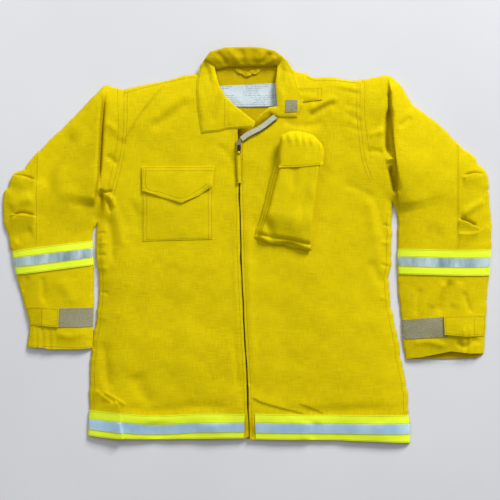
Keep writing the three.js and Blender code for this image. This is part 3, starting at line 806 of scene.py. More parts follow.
def reflective(name, dark, light, streak, per_metre):
    """A silver stripe: its two tones, how sharply its bands part, and how many there are to a metre."""
    material, tree, surface, place = new_finish(name)
    weave = use_group(tree, weave_group, Place=place, Threads_per_metre=4200.0, Slub=0.5)
    wear = use_group(tree, wear_group, Place=place, Rub_size=0.008)
    across = put(tree, "Mapping", Vector=place, Scale=(per_metre, 11.0, 1.0))[0]
    bands = put(tree, "TexNoise", Vector=across, Scale=1.0, Detail=4.0, Roughness=0.6)[0]
    half = 0.22 / streak
    mask = put(tree, "MapRange", Value=bands, From_Min=0.5 - half, From_Max=0.5 + half)[0]
    tone = mix_colour(tree, mask, srgb(*dark), srgb(*light))
    wrinkle = put(tree, "Bump", Strength=0.3, Distance=0.001, Height=bands)[0]
    feed(tree, surface,
         Base_Color=mix_colour(tree, times(tree, wear["Rub"], 0.18), tone, srgb(*dark)),
         Roughness=put(tree, "MapRange", Value=mask, To_Min=0.62, To_Max=0.5)[0],
         Normal=put(tree, "Bump", Strength=0.2, Distance=0.0002, Height=weave["Height"], Normal=wrinkle)[0],
         Metallic=0.1, Specular_IOR_Level=0.25)
    return material


hem_silver = reflective("hem_silver", (164, 202, 230), (204, 236, 252), 1.2, 17.0)
sleeve_silver = reflective("sleeve_silver", (132, 158, 162), (202, 224, 224), 1.5, 46.0)
print("stripes:", hem_silver.name, sleeve_silver.name)

# %% [markdown]
# ## The care label
# A label is finely woven white tape printed with small type. Here it has no words: only rows of broken grey dashes,
# which read as print from a distance. Noise cuts each ruled row into dashes.

# %% Ruled rows on the label
LINE_PITCH = 0.0034
tree = label_cloth.node_tree
surface = tree.nodes["Principled BSDF"]
place = put(tree, "UVMap", uv_map="weave")[0]


def cut_off(pattern, level):
    return sums(tree, "GREATER_THAN", pattern, level)


def stretched_noise(scale, detail):
    turned = put(tree, "Mapping", Vector=place, Scale=scale)[0]
    return put(tree, "TexNoise", Vector=turned, Scale=1.0, Detail=detail)[0]


ruled = put(tree, "TexWave", bands_direction="Y", Vector=place, Scale=WAVE_PITCH / LINE_PITCH)[1]
dashes = times(tree, cut_off(ruled, 0.52), cut_off(stretched_noise((420.0, 300.0, 1.0), 1.0), 0.47))
blocks = cut_off(stretched_noise((30.0, 60.0, 1.0), 0.0), 0.45)
print_mask = times(tree, times(tree, dashes, blocks), 0.6)
plain = surface.inputs["Base Color"].links[0].from_socket
feed(tree, surface, Base_Color=mix_colour(tree, print_mask, plain, srgb(120, 130, 136)))
print("label:", len(tree.nodes), "nodes")

# %% [markdown]
# ## Hook and loop
# The soft side of the closure is a felt of tiny loops, cut from a tape, that catches lint. Noise at the size of a
# tuft gives its colour and a strong bump. The hook side is stiffer and set in rows.

# %% Pads of hook and loop


def pile(name, dark, light, tuft, rows=False):
    """A felt of tufts, or a pad of hooks set in rows."""
    material, tree, surface, place = new_finish(name)
    wear = use_group(tree, wear_group, Place=place, Patch_size=0.03, Rub_size=tuft * 3)
    if rows:
        grain = put(tree, "TexWave", Vector=place, Scale=WAVE_PITCH / tuft, Distortion=0.8, Detail=2.0)[1]
    else:
        grain = put(tree, "TexVoronoi", Vector=place, Scale=1 / tuft, Randomness=1.0)[0]
    tone = mix_colour(tree, grain, srgb(*light), srgb(*dark))
    feed(tree, surface,
         Base_Color=mix_colour(tree, times(tree, wear["Fade"], 0.4), tone, srgb(*light)),
         Roughness=put(tree, "MapRange", Value=wear["Rub"], To_Min=0.9, To_Max=1.0)[0],
         Normal=put(tree, "Bump", Strength=0.9, Distance=0.0012, Height=grain)[0],
         Specular_IOR_Level=0.15, Sheen_Weight=0.35)
    return material


loop_pile = pile("loop_pile", (134, 130, 96), (176, 172, 138), 0.0012)
hook_rows = pile("hook_rows", (112, 108, 76), (156, 150, 116), 0.0014, rows=True)
print("pads:", loop_pile.name, hook_rows.name)

# %% [markdown]
# ## Metal
# The zip is brass, dulled by handling, with a dark painted puller. Metal takes its look from what it reflects, so
# wear shows as a change of roughness more than of colour. These parts have no weave, so they use object coordinates.

# %% Metal finishes


def metal(name, base, rubbed, rough_low, rough_high, metallic=1.0):
    """Metal that is smoother where it is rubbed."""
    material, tree, surface, place = new_finish(name, object_space=True)
    rub = use_group(tree, wear_group, Place=place, Patch_size=0.01, Rub_size=0.0022)["Rub"]
    feed(tree, surface,
         Base_Color=mix_colour(tree, rub, srgb(*base), srgb(*rubbed)),
         Roughness=put(tree, "MapRange", Value=rub, To_Min=rough_high, To_Max=rough_low)[0],
         Normal=put(tree, "Bump", Strength=0.15, Distance=0.0003, Height=rub)[0],
         Metallic=metallic)
    return material


zip_brass = metal("zip_brass", (168, 142, 84), (226, 208, 150), 0.22, 0.42)
old_brass = metal("old_brass", (74, 62, 34), (132, 112, 62), 0.35, 0.6)
dark_paint = metal("dark_paint", (24, 23, 22), (58, 56, 52), 0.35, 0.55, metallic=0.5)
print("metal finishes ready")

# %% [markdown]
# ## How a sleeve bends
# The sleeves fold over on a line beside the body. Each bend says which body cloth that crosses that line stays with
# near the armhole, which it turns with farther out, and where the line runs. Every layer of a sleeve names the same
# bend, so that band, stripe and stitches share it with the cloth under them. A piece on a bend only has its transform
# baked into its mesh.

# %% Helpers for riding and laying
# Each bend: the body it leaves, the body it reaches, and where it starts and ends, in metres.
BENDS = {
    "chest_flap": ("coat", "chest_lid", (-0.131, 0.1485, 0.021), (-0.131, 0.1405, 0.021)),
    "radio_flap": ("coat", "radio_lid", (0.1068, 0.2115, 0.0175), (0.1053, 0.2035, 0.0175)),
    "right_leaf": ("coat", "collar_right_wing", (-0.066, 0.328, 0.018), (-0.075, 0.285, 0.018)),
    "left_leaf": ("coat", "collar_left_wing", (0.066, 0.335, 0.018), (0.085, 0.295, 0.018)),
    "collar_tab": ("collar_left_wing", "throat_tab", (0.109, 0.284, 0.018), (0.117, 0.284, 0.018)),
}
for side, at, way, near, far in (("right", (-0.235, 0.221, 0.0167), (-0.9896, 0.1436, 0), 0.014, 0.066),
                                 ("left", (0.218, 0.207, 0.0167), (0.9819, 0.1896, 0), 0.016, 0.074)):
    start, end = ([a + w * reach for a, w in zip(at, way)] for reach in (near, far))
    BENDS[side + "_sleeve_bend"] = ("coat", side + "_sleeve", start, end)


def carry(piece, rides):
    """Let a piece ride on a body; if rides is the name of a bend, only bake its transform into its mesh."""
    if rides in BENDS:
        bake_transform(piece)
    else:
        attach(piece, rides)


def lay(name, outline, height, finish, rides, node, on, slot="coat_cloth", held="laid", pattern=None, **cut):
    """Cut a sheet, lay it on what it rides, and hide the nodes it replaces. Its cut area is worked out from its
    pattern, where that isn't the outline, but is not used.
    The arguments slot, held and on are not used."""
    piece = cut_cloth(name, outline, height, finish, **cut)
    carry(piece, rides)
    if node:
        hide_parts(*node.split())
    line = np.array(outline if pattern is None else pattern, float)
    x, y = line[:, 0], line[:, 1]
    area = abs(np.dot(x, np.roll(y, -1)) - np.dot(y, np.roll(x, -1))) / 2
    flat = np.maximum((line.max(0) - line.min(0)) * MM, 0.01)
    area = float(np.clip(area * MM * MM, 0.31 * flat[0] * flat[1], flat[0] * flat[1]))
    print(name, len(piece.data.vertices), "points")


print("bends:", ", ".join(BENDS))

# %% [markdown]
# ## The shell
# The coat's back lies on the floor, and the two fronts lie on it with air between. Each is cut as its own panel, as
# a tailor would, and they meet along the shoulder, the side seam and the zip.

# %% Back and fronts
neck_back = curve("-63,336 -56,342 -20,346 36,346 58,345 67,341")
zip_run = np.linspace(-366, 221, 120)
wander = 0.7 * np.sin(zip_run / 21) + 0.5 * np.sin(zip_run / 9 + 1)
room = 0.7 * np.exp(-(((zip_run + 275) / 20) ** 2))  # for the slider's post where it stops
right_zip_edge = np.column_stack([zip_x(zip_run) - 1.0 - room + np.minimum(wander, 0.2), zip_run])
left_zip_edge = np.column_stack([zip_x(zip_run) + 1.4 + room + np.maximum(0.6 * wander, -0.2), zip_run])
left_zip_edge = left_zip_edge[: np.searchsorted(zip_run, 196)]
fold_right = points("-12,224 -27,255 -43,281 -57,303 -63,336")
fold_left = points("67,341 55,307 56,262 54,243 30,222 5,201")


def joined(*lines):
    """One outline from lines that meet end to end."""
    return np.vstack([lines[0]] + [line[1:] for line in lines[1:]])


right_front = np.vstack([joined(right_shoulder, right_armhole, right_side, right_hem, right_zip_edge), fold_right])
left_front = joined(left_zip_edge, fold_left[::-1], left_shoulder, left_armhole, left_side, left_hem)
right_half = joined(neck_back[::-1], right_shoulder, right_armhole, right_side, right_hem)
left_half = joined(left_hem[::-1], left_side[::-1], left_armhole[::-1], left_shoulder[::-1])
back_outline = np.vstack([right_half, left_half])


def back_height(spots):
    p = np.asarray(spots, float)
    return 2.0 + 0.25 * np.sin(p[:, 0] / 37 + 1) * np.sin(p[:, 1] / 53)


body_fine = [line for line in sharp_folds if abs(line[:, 0]).max() < 303]
lay("back_cloth", back_outline, back_height, inner_cloth, "coat", "back_panel", "floor", step=9)
for side, outline, sign in (("right", right_front, -1), ("left", left_front, 1)):
    lay(f"front_{side}_cloth", outline, upper, shell_cloth, "coat", side + "_front_panel", "back_cloth",
        fine=[line for line in body_fine if line[:, 0].mean() * sign > 0], rolled=True)

# %% [markdown]
# ## Sleeves
# Each sleeve is a front and a back layer, with a separate panel over the elbow. The elbow panel is cut apart and
# meets the sleeve at a seam, so that it can be stitched and tucked on its own.

# %% Sleeve panels
right_sleeve = joined(right_sleeve_outer, right_cuff, right_sleeve_inner, right_armhole[::-1])
left_sleeve, left_sleeve_front = (
    joined(left_sleeve_outer, cuff, left_sleeve_inner, left_armhole[::-1]) for cuff in (left_cuff, left_cuff_front))


def clip_side(outline, x, keep_less):
    """The part of an outline on one side of a line x = const (or y, with the axes swapped by the caller)."""
    out = []
    pts = [tuple(p) for p in outline]
    for a, b in zip(pts, pts[1:] + pts[:1]):
        ain, bin_ = (a[0] <= x) == keep_less, (b[0] <= x) == keep_less
        if ain:
            out.append(a)
        if ain != bin_:
            t = (x - a[0]) / (b[0] - a[0])
            out.append((x, a[1] + t * (b[1] - a[1])))
    return np.array(out)


def swap(line):
    return np.array(line)[:, ::-1]


def elbow_part(outline, edge, outward, low):
    """The part of a sleeve over the elbow, outside the edge line and above the band."""
    return swap(clip_side(swap(clip_side(outline, edge, outward < 0)), low, False))


for side, outline, front, edge, sign in (("right", right_sleeve, right_sleeve, -395.0, -1),
                                         ("left", left_sleeve, left_sleeve_front, 396.0, 1)):
    bend, under, top = (side + name for name in ("_sleeve_bend", "_sleeve_under", "_sleeve_cloth"))
    steps = [line for line in sharp_folds if line[:, 0].mean() * sign > 262]
    lay(under, outline, back_height, inner_cloth, bend, side + "_sleeve_back", "floor", step=4.5)
    lay(top, front, upper, shell_cloth, bend, side + "_sleeve_front", under, pattern=outline, fine=steps,
        turn=math.radians(-sign * 12), rolled=True)
    lay(side + "_elbow_cloth", elbow_part(outline, edge, sign, -38.0), above(0.6), shell_cloth, bend,
        side + "_elbow_panel", top, fine=[line for line in steps if abs(line[:, 0]).mean() > 380], thick=0.8,
        turn=math.radians(sign * 6), rolled=True)

# %% [markdown]
# ## Triple trim
# Fluorescent band with a reflective stripe along its middle, sewn round the hem and both sleeves. Both are strips
# laid at the cloth's own height, one thickness above it, so they follow every ripple.

# %% Band and stripe


def strip_between(top, low):
    return np.vstack([top, low[::-1]])


hem_lines = {
    "right": dict(
        band=("-300,-311 -240,-316 -174,-321 -89,-317 -5,-318",
              "-302,-359 -277,-362 -240,-365 -174,-366 -89,-365 -7.6,-364"),
        stripe=("-301.5,-328 -240,-333 -174,-339 -89,-335 -6,-334.5",
                "-302,-347 -240,-353 -174,-357 -89,-352.5 -6.6,-352")),
    "left": dict(
        band=("14,-317 100,-319 306,-320.5", "15.6,-366 99,-367 174,-368 249,-371 308,-373"),
        stripe=("14.6,-334 100,-336 306.6,-337.5", "15.2,-353 100,-354.5 307.4,-356.5")),
}
back_strips = {
    "band": strip_between(points("-299,-312 -240,-316 -174,-321 -5,-318 303,-321"),
                          points("-301,-359 -240,-365 -89,-365 16,-365 174,-367 307,-371")),
    "stripe": strip_between(points("-300,-328 -240,-333 -174,-339 -5,-335 304,-338"),
                            points("-301,-347 -240,-353 -174,-357 -5,-352 305,-356")),
}
sleeve_bands = {
    "right": dict(
        band=("-446.5,-11 -400,-4 -291,9", "-437.5,-55 -400,-51 -290.5,-37"),
        stripe=("-444.5,-24 -400,-18.5 -291,-5", "-441,-40 -400,-36 -291,-22")),
    "left": dict(
        band=("286.5,-6 400,-8.5 461,-8", "286.5,-54 400,-57 457.5,-57"),
        stripe=("286.5,-21 400,-24 460,-23", "286.5,-38.5 400,-41 458.5,-40")),
}


def edge_x(edge, y):
    """Where an edge line of the coat is at a height y."""
    line = edge[np.argsort(edge[:, 1])]
    return float(np.interp(y, line[:, 1], line[:, 0]))


def snapped(text, edges):
    """A trim line with its ends put on the coat's edges."""
    line = points(text)
    for end, edge in edges:
        line[end, 0] = edge_x(edge, line[end, 1])
    return line


def lay_trim(place, part, outline, silver, rides, node, on, lift=None, **cut):
    """A strip of trim: above the upper layer by a lift, or flat under the coat where no lift is given."""
    is_band = part == "band"
    height = flat_at(1.0 if is_band else 0.42) if lift is None else above(lift + (0 if is_band else 0.5))
    thick = (0.55 if is_band else 0.35) - (0.05 if lift is None else 0)
    lay(f"{place}_{part}_cloth", outline, height, lime_cloth if is_band else silver, rides, node, on,
        slot="fluorescent_band" if is_band else "reflective_stripe", thick=thick, **cut)


HEM_LIFT, SLEEVE_LIFT = 1.35, 1.9
hem_ends = {"right": [(0, right_side)], "left": [(-1, left_side)]}
sleeve_ends = {"right": [(0, right_sleeve_outer), (-1, right_sleeve_inner)],
               "left": [(0, left_sleeve_inner), (-1, left_sleeve_outer)]}
hem_fine = [line for line in body_fine if line[:, 1].min() < -300]
for side in ("right", "left"):
    for part in ("band", "stripe"):
        outline = strip_between(*(spaced(drawn(snapped(text, hem_ends[side])), 6) for text in hem_lines[side][part]))
        lay_trim(side + "_hem", part, outline, hem_silver, "coat", f"{side}_hem_{part}", f"front_{side}_cloth",
                 lift=HEM_LIFT, fine=hem_fine, rolled=True)
for part, outline in back_strips.items():
    lay_trim("back_hem", part, outline, hem_silver, "coat", "back_hem_" + part, "back_cloth", step=12)
for side in ("right", "left"):
    for part in ("band", "stripe"):
        lines = (spaced(drawn(snapped(text, sleeve_ends[side])), 6) for text in sleeve_bands[side][part])
        outline, bend, node = strip_between(*lines), side + "_sleeve_bend", f"{side}_sleeve_{part}"
        lay_trim(side + "_sleeve", part, outline, sleeve_silver, bend, node + "_front", side + "_sleeve_cloth",
                 lift=SLEEVE_LIFT, rolled=True)
        lay_trim(side + "_sleeve_back", part, outline, sleeve_silver, bend, node + "_back", side + "_sleeve_under",
                 step=3.6)

# %% [markdown]
# ## Wind flap and zip
# Behind the zip hangs a strip that keeps heat out. It shows only below the zip's end. The zip itself is two woven
# tapes with a row of brass teeth on each edge: small real teeth, set in turn, as on the coat.

# %% Wind flap
flap_run = np.linspace(-361, 200, 50)
wind_outline = strip_between(*(np.column_stack([zip_x(flap_run) + off, flap_run]) for off in (18, -22)))
lay("wind_flap_cloth", wind_outline, lambda p: np.clip(upper(p) - 3.4, 2.9, 9.7), inner_cloth, "coat", "wind_flap",
    "back_cloth", thick=0.8, step=6)

# %% Tapes and teeth
open_row = curve("-8,196 4,205 24,215 40,226 56,239", 6)
tape_run = np.linspace(-304, 216, 60)


def tape_strip(line, inner_gap, width):
    return strip_between(beside(line, inner_gap), beside(line, inner_gap + width))


main_line = np.column_stack([zip_x(tape_run), tape_run])
left_line = main_line[: np.searchsorted(tape_run, 194)]
for name, outline, height, node in (
        ("right", tape_strip(main_line, 1.6, 13), above(-1.25), "zipper_right_tape"),
        ("left", tape_strip(left_line, -1.6, -13), above(-1.25), "zipper_left_tape"),
        ("open", tape_strip(open_row, 0.8, 9.5), above(2.2), None)):
    lay(f"zip_{name}_tape_cloth", outline, height, white_tape, "coat", node, "wind_flap_cloth", slot="zip_tape",
        thick=0.6, step=5)


def rail_of_bits(name, line, height, side, pitch, bit, finish, lift=0.0):
    """Small solid bits set along a line: bit = (length along, length across, height)."""
    path = spaced(line, 1.0)
    run = run_along(path)
    at = np.arange(pitch / 2, run[-1], pitch)
    centre, ahead = (np.column_stack([np.interp(s, run, path[:, k]) for k in range(2)]) for s in (at, at + 0.5))
    way = ahead - centre
    way /= np.maximum(np.linalg.norm(way, axis=1, keepdims=True), 1e-9)
    across = np.column_stack([-way[:, 1], way[:, 0]])
    level = height(centre) + lift
    long, wide, tall = bit
    corners, faces = [], []
    for c, w, n, z in zip(centre, way, across, level):
        c = c + n * side
        base = len(corners)
        for dz, grow in ((-tall / 2, 1.0), (tall * 0.2, 1.0), (tall / 2, 0.62)):
            for a, b in ((-1, -1), (1, -1), (1, 1), (-1, 1)):
                q = c + w * a * long / 2 * grow + n * b * wide / 2 * grow
                corners.append((q[0], q[1], z + dz))
        faces.append([base + 3, base + 2, base + 1, base])
        for layer in (0, 4):
            for k in range(4):
                a, b = base + layer + k, base + layer + (k + 1) % 4
                faces.append([a, b, b + 4, a + 4])
        faces.append([base + 8, base + 9, base + 10, base + 11])
    return new_piece(name, corners, faces, finish, smooth=False)


TOOTH_PITCH = 2.6
for name, line, lift, side, tooth, node in (
        ("right", main_line, -0.7, 0.55, (1.1, 3.4, 1.5), "zipper_right_teeth"),
        ("left", left_line + [0, TOOTH_PITCH / 2], -0.7, -0.55, (1.1, 3.4, 1.5), "zipper_left_teeth"),
        ("open", open_row, 2.6, -0.5, (1.2, 3.0, 1.6), None)):
    teeth = rail_of_bits(f"zip_{name}_teeth", line, above(lift), side, TOOTH_PITCH, tooth, old_brass)
    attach(teeth, "coat")
    if node:
        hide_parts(node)
for node, finish in (("zipper_bottom_box", old_brass), ("zipper_slider", zip_brass), ("zipper_puller", dark_paint)):
    for s in bpy.data.objects[node].material_slots:
        s.material = finish
print("teeth made")

# %% [markdown]
# ## Pull strap
# A doubled strip of shell cloth on the puller, so that a gloved hand can find it.

# %% Pull strap
strap_low, strap_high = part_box("zipper_pull_strap")
strap_mid = centre_of("zipper_pull_strap")
strap_half = 27.8  # half its length
lean = np.array([0.0353, -0.9994])


def strap_outline(wide, first=-strap_half, last=strap_half):
    side = np.array([lean[1], -lean[0]])
    top, foot = (strap_mid[:2] + lean * t for t in (first, last))
    return np.array([top - side * wide, foot - side * wide, foot + side * wide, top + side * wide])


strap_level = strap_low[2] / MM
lay("pull_strap_cloth", strap_outline(5.0), flat_at(strap_level + 0.45), shell_cloth, "pull_strap",
    "zipper_pull_strap", "front_right_cloth", step=2.0)

# %% The strap's eye round the puller's bar
BAR_X = -15.78
RING, EYE_HALF, EYE_RADII = 20, 2.1, (1.25, 2.15)
bar = np.array([BAR_X, strap_high[1] / MM - 2.27, strap_mid[2]])
turns = [math.tau * k / RING for k in range(RING)]
corners = [bar + (across, radius * math.cos(turn), radius * math.sin(turn))
           for across in (-EYE_HALF, EYE_HALF) for radius in EYE_RADII for turn in turns]
eye_faces = [[a * RING + k, b * RING + k, b * RING + (k + 1) % RING, a * RING + (k + 1) % RING]
             for a, b in ((0, 1), (1, 3), (3, 2), (2, 0)) for k in range(RING)]
strap_eye = new_piece("pull_strap_eye", corners, eye_faces, shell_cloth)
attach(strap_eye, "pull_strap")
print("strap and its eye made")

# %% [markdown]
# ## Chest pocket
# A flat patch pocket with a pointed flap. The patch swells a little in its middle, and the flap lies over its mouth,
# its lower right corner curled up from use.

# %% Pocket and flap
POUCH_TOP, FLAP_TOP = 143, 149
pouch_outline = points("-198,143 -198,8.5 -65,12 -65,143")
flap_outline = points("-199,149 -198,103 -160,91 -124,80 -92,94 -66,112 -61,149")


def patch_height(p):
    """The patch swells away from its sewn edges."""
    return upper(p) + 1.0 + 1.5 * (1 - np.exp(-measure_from(p, pouch_outline)[0] / 16))


def pouch_height(p):
    return patch_height(p) + 1.4 * np.exp(-((p[:, 1] - POUCH_TOP) / 22) ** 2)


def flap_height(p):
    root = np.exp(-((FLAP_TOP - p[:, 1]) / 5.0))
    curl = np.clip(1 - np.hypot(p[:, 0] + 64, p[:, 1] - 112) / 26, 0, 1)
    edge = measure_from(p, flap_outline[1:6])[0]
    z = patch_height(p) + 2.6 - 2.0 * root + 6.0 * curl**1.6
    return z + 0.5 * np.exp(-edge / 3) + 0.5 * np.sin(p[:, 0] / 11)


lay("chest_pouch_cloth", pouch_outline, pouch_height, shell_cloth, "coat", "chest_pouch", "front_right_cloth")
lay("chest_flap_cloth", flap_outline, flap_height, shell_cloth, "chest_flap", "chest_flap", "chest_pouch_cloth",
    thick=1.4, step=3)

# %% [markdown]
# ## Radio pocket
# A deep bellows pocket: a face panel, with pleated sides that let it stand off the coat. It is a lofted shell. The
# same cross-section, with a pleat at each side, is repeated from the bottom to the mouth, and squashed where the
# bottom gusset folds. A flap with a gathered, rounded top covers its mouth.

# %% Radio pocket
RADIO_AT = np.array([96.0, 152.0])
RADIO_TURN = math.radians(-10.5)


def turned_by(angle, u, v):
    c, s = math.cos(angle), math.sin(angle)
    return np.column_stack([c * u - s * v, s * u + c * v])


def radio_place(u, v):
    """From the pocket's own (u, v) to the floor's (x, y)."""
    return RADIO_AT + turned_by(RADIO_TURN, np.asarray(u), np.asarray(v))


FACE = 20.0
stations = np.concatenate([np.linspace(-153, -141, 10), np.linspace(-136, 40, 60), [43]])


def radio_section(v):
    """One cross-section of the pocket: foot, pleat, face, pleat, foot, as (u, height)."""
    left = np.interp(v, [-150, -145, -12, 54], [-44, -42.5, -30, -27])
    right = np.interp(v, [-150, -101, 3, 54], [49, 41.5, 37.5, 27])
    lean = np.interp(v, [-150, 0, 43], [12, 13, 9])
    levels = [0, 3, 5.5, 7.5, 9, 10.5, 12.5, 15.5, 18.3, FACE]
    side = [-lean, -lean - 0.8, -lean + 1.5, -lean + 7, -lean + 8.5, -lean + 5, -3.5, -3.6, -2, 0]
    tuck = [-1, 1.4, 2.2, 1.4, -5, -7, -5, -1, 0.5, 0]
    across = np.linspace(left + 3, right - 3, 26)
    face = [(u, FACE + 1.8 * (1 - ((2 * u - left - right) / (right - left)) ** 2)) for u in across]
    return np.array([(left + u, z) for u, z in zip(side, levels)] + face
                    + [(right + u, z) for u, z in zip(tuck, levels[::-1])])


def bump(x, middle, wide):
    return np.exp(-(((x - middle) / wide) ** 2))


rings = []
for v in stations:
    shut = float(np.interp(v, [-153, -150, -146.5, -143, -139], [0.0, 0.5, 0.66, 0.46, 1.0]))
    section = radio_section(v)
    u = section[:, 0] + 1.4 * np.sin(v / 9) * ease((-118 - v) / 20) + 0.8 * np.sin(v / 21)
    fold = 1 - 0.34 * bump(u + 0.45 * (v + 148), -24, 9) * ease((-96 - v) / 30)
    fold -= 0.16 * bump(u, 20, 8) * bump(v, -70, 40) + 0.14 * bump(u, -5, 8) * bump(v, -30, 28)
    ripple = 0.6 * np.sin(v / 7.5 + u / 20) * bump(np.abs(u), 38, 9) + 0.5 * np.sin(v / 19 + u / 12)
    droop = 1 - 0.38 * ease((-96 - v) / 55)
    z = section[:, 1] * (0.22 + 0.78 * shut) * fold * droop + ripple * (section[:, 1] > 9)
    bottom_wave = 3.0 * np.sin(u / 11 + 0.6) * ease((-138 - v) / 14)
    spot = radio_place(u, v + bottom_wave)
    rings.append(np.column_stack([spot, np.maximum(upper(spot) + 0.7 + z, 2)]))
grid = np.array(rings)
rows, across = grid.shape[:2]
tri = []
for i in range(rows - 1):
    for a in range(i * across, (i + 1) * across - 1):
        tri += [(a, a + 1, a + 1 + across), (a, a + 1 + across, a + across)]
mid = rows * across  # the bottom is closed by a fan round this point
surface_points = np.vstack([grid.reshape(-1, 3), grid[0].mean(0)])
tri += [(k + 1, k, mid) for k in range(across - 1)] + [(0, across - 1, mid)]
vertices, faces = thicken(surface_points, tri, 0.9)
unrolled = run_along(radio_section(-60.0))
flat_uv = [(u, v) for v in stations for u in unrolled] + [(unrolled[across // 2], stations[0])]
radio_cloth = new_piece("radio_pouch_cloth", vertices, faces, shell_cloth, weave=flat_uv * 2)
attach(radio_cloth, "coat")
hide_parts("radio_pouch")

radio_flap_uv = np.vstack([points("-35,-13.4 5,-4.5 43.5,7"), curve(
    "44.5,12 43.5,28 39.5,39 30.5,49.5 15,60 -5,62.5 -22,60 -34,54 -42.5,43 -42,20 -37,-8")])


def radio_flap_height(spots):
    u, v = turned_by(-RADIO_TURN, *(np.asarray(spots, float) - RADIO_AT).T).T
    crown = 1.6 * (1 - np.clip(u / 42, -1, 1) ** 2)
    over = np.sqrt(np.clip(1 - np.clip((v - 40) / 21.5, 0, 1) ** 2, 0, 1))
    side = np.exp(-measure_from(np.column_stack([u, v]), radio_flap_uv[3:])[0] / 2.6)
    gather = 1.5 * np.sin(u / 2.3 + 1.2 * np.sin(v / 7) + 0.6 * np.sin(u / 9)) * ease((v - 24) / 30) * (1 - 0.7 * side)
    body = (FACE + 1.4 + crown) * (0.12 + 0.88 * over) * (1 - 0.32 * side)
    return upper(spots) + 0.9 + body + gather + 0.4 * np.sin(u / 13 + v / 17)


lay("radio_flap_cloth", radio_place(*closed_points(radio_flap_uv, 4).T), radio_flap_height, shell_cloth, "radio_flap",
    "radio_flap", "radio_pouch_cloth", thick=1.3, step=2.4)
print("radio pocket", len(radio_cloth.data.vertices), "points")

# %% [markdown]
# ## Collar
# The collar lies open. Its back part shows its inside, and its two fronts turn over as leaves. All are doubled cloth,
# thicker than the shell, with a rolled edge.

# %% Collar pieces
right_leaf_line = closed_points(points("""
    -72,362 -89,341 -96,315 -97,292 -95,262 -91,236 -87,211 -54,214.5 -39,219 11,222 15,233 -25,265 -41,281 -54,304
    -60,326 -63,342 -68,354"""), 3)
left_leaf_line = closed_points(points("""
    52,366 65,358 76,348 88,328 98,296 105,264 94,241.5 59,242 40,251 23,242 15,233 23,246 40,260 56,262 53,307
    57,340 50,352"""), 3)
collar_back_line = closed_points(points("""
    -71,365 -42,373.5 5,374.5 27,373 52,367 66,356 60,340 36,339 0,338.5 -36,338 -58,333 -70,342 -82,350"""), 3)
# Each row: height, width and the line of a crease in the collar.
COLLAR_FOLDS = """
-2.2 5 -84,352 -74,330 -70,300
2.0 5 -78,350 -66,326 -62,300
1.6 7 -90,300 -86,262 -80,228
-1.4 7 -52,290 -60,256 -64,226
1.3 6 -30,262 -34,240 -30,224
-2.0 5 62,352 66,330 64,300
1.6 6 72,346 82,316 88,290
1.5 6 60,300 66,276 60,250
-1.4 4 96,262 80,248 62,246
-2.4 5 -60,366 -44,350 -38,338
2.0 6 -40,371 -24,356 -18,340
-1.8 5 -16,372 -8,356 -12,340
-1.4 6 14,372 10,356 12,340
-2.8 4.5 44,366 34,352 22,342
2.4 4 54,356 44,346 36,338
1.8 6 26,370 26,356 20,344
"""
collar_folds = [fold.split(" ", 2) for fold in COLLAR_FOLDS.strip().splitlines()]
collar_folds = [(curve(line), float(high), float(wide)) for high, wide, line in collar_folds]
COLLAR_RADIUS = 3.0


def collar_creases(p):
    extra = np.zeros(len(p))
    for line, high, wide in collar_folds:
        d, along, _ = measure_from(p, line)
        extra += high * fades_out(along, 0.25) * np.exp(-((d / wide) ** 2))
    return extra


# painted shade: the collar's hollow creases are darkened in colour
def fold_shade(p):
    return np.clip(-collar_creases(p) / 4.5, 0, 0.6)


def rim_distance(p, outline):
    return measure_from(p, np.vstack([outline, outline[:1]]))[0]


def collar_height(outline, base, crown):
    """A doubled, rounded leaf: full in the middle, rolled down at its edge."""
    def height(p):
        edge = rim_distance(p, outline)
        z = np.maximum(upper(p), 7) + base + 1.2 * rounded(edge, COLLAR_RADIUS) + crown * (1 - np.exp(-edge / 18))
        return z + collar_creases(p) * np.minimum(edge / 8, 1) * 0.8
    return height


def neck_slope(p):
    """The collar's back rises from the neck to its outer edge."""
    edge = rim_distance(p, collar_back_line)
    rise = 5.0 + 10.0 * ease((p[:, 1] - 330) / 26) + 1.6 * rounded(edge, COLLAR_RADIUS)
    return rise + 1.2 * collar_creases(p) * np.minimum(edge / 6, 1)


right_leaf_top = collar_height(right_leaf_line, 0.6, 1.6)
left_leaf_top = collar_height(left_leaf_line, 1.6, 1.8)
for name, outline, height, finish, rides in (
        ("back", collar_back_line, neck_slope, inner_cloth, "coat"),
        ("right_leaf", right_leaf_line, right_leaf_top, shell_cloth, "right_leaf"),
        ("left_leaf", left_leaf_line, left_leaf_top, shell_cloth, "left_leaf")):
    lay(f"collar_{name}_cloth", outline, height, finish, rides, "collar_" + name, "back_cloth", held="folded",
        thick=1.8, step=2.6, dark=fold_shade)
lay("throat_tab_cloth", points("86,270 104,271 141,275 142.5,278 142.5,297 140,300 99,297 84,294"),
    lambda p: upper(p) + 2.6 + 0.5 * np.sin(p[:, 1] / 2.6) * ease((134 - p[:, 0]) / 8), shell_cloth, "collar_tab",
    "collar_tab", "front_left_cloth", thick=1.6, step=2.4)
lay("collar_loop_cloth", points("71,251 94,251.5 94,274 71.5,274"), lambda p: left_leaf_top(p) + 1.0, loop_pile,
    "collar_left_wing", "collar_loop_pad", "collar_left_leaf_cloth", slot="loop_pad", thick=1.0, step=2)

# %% [markdown]
# ## Inside the neck
# A hanging loop is sewn at the middle of the neck, and a care label below it. The label carries no words here, only
# ruled rows in pale grey.

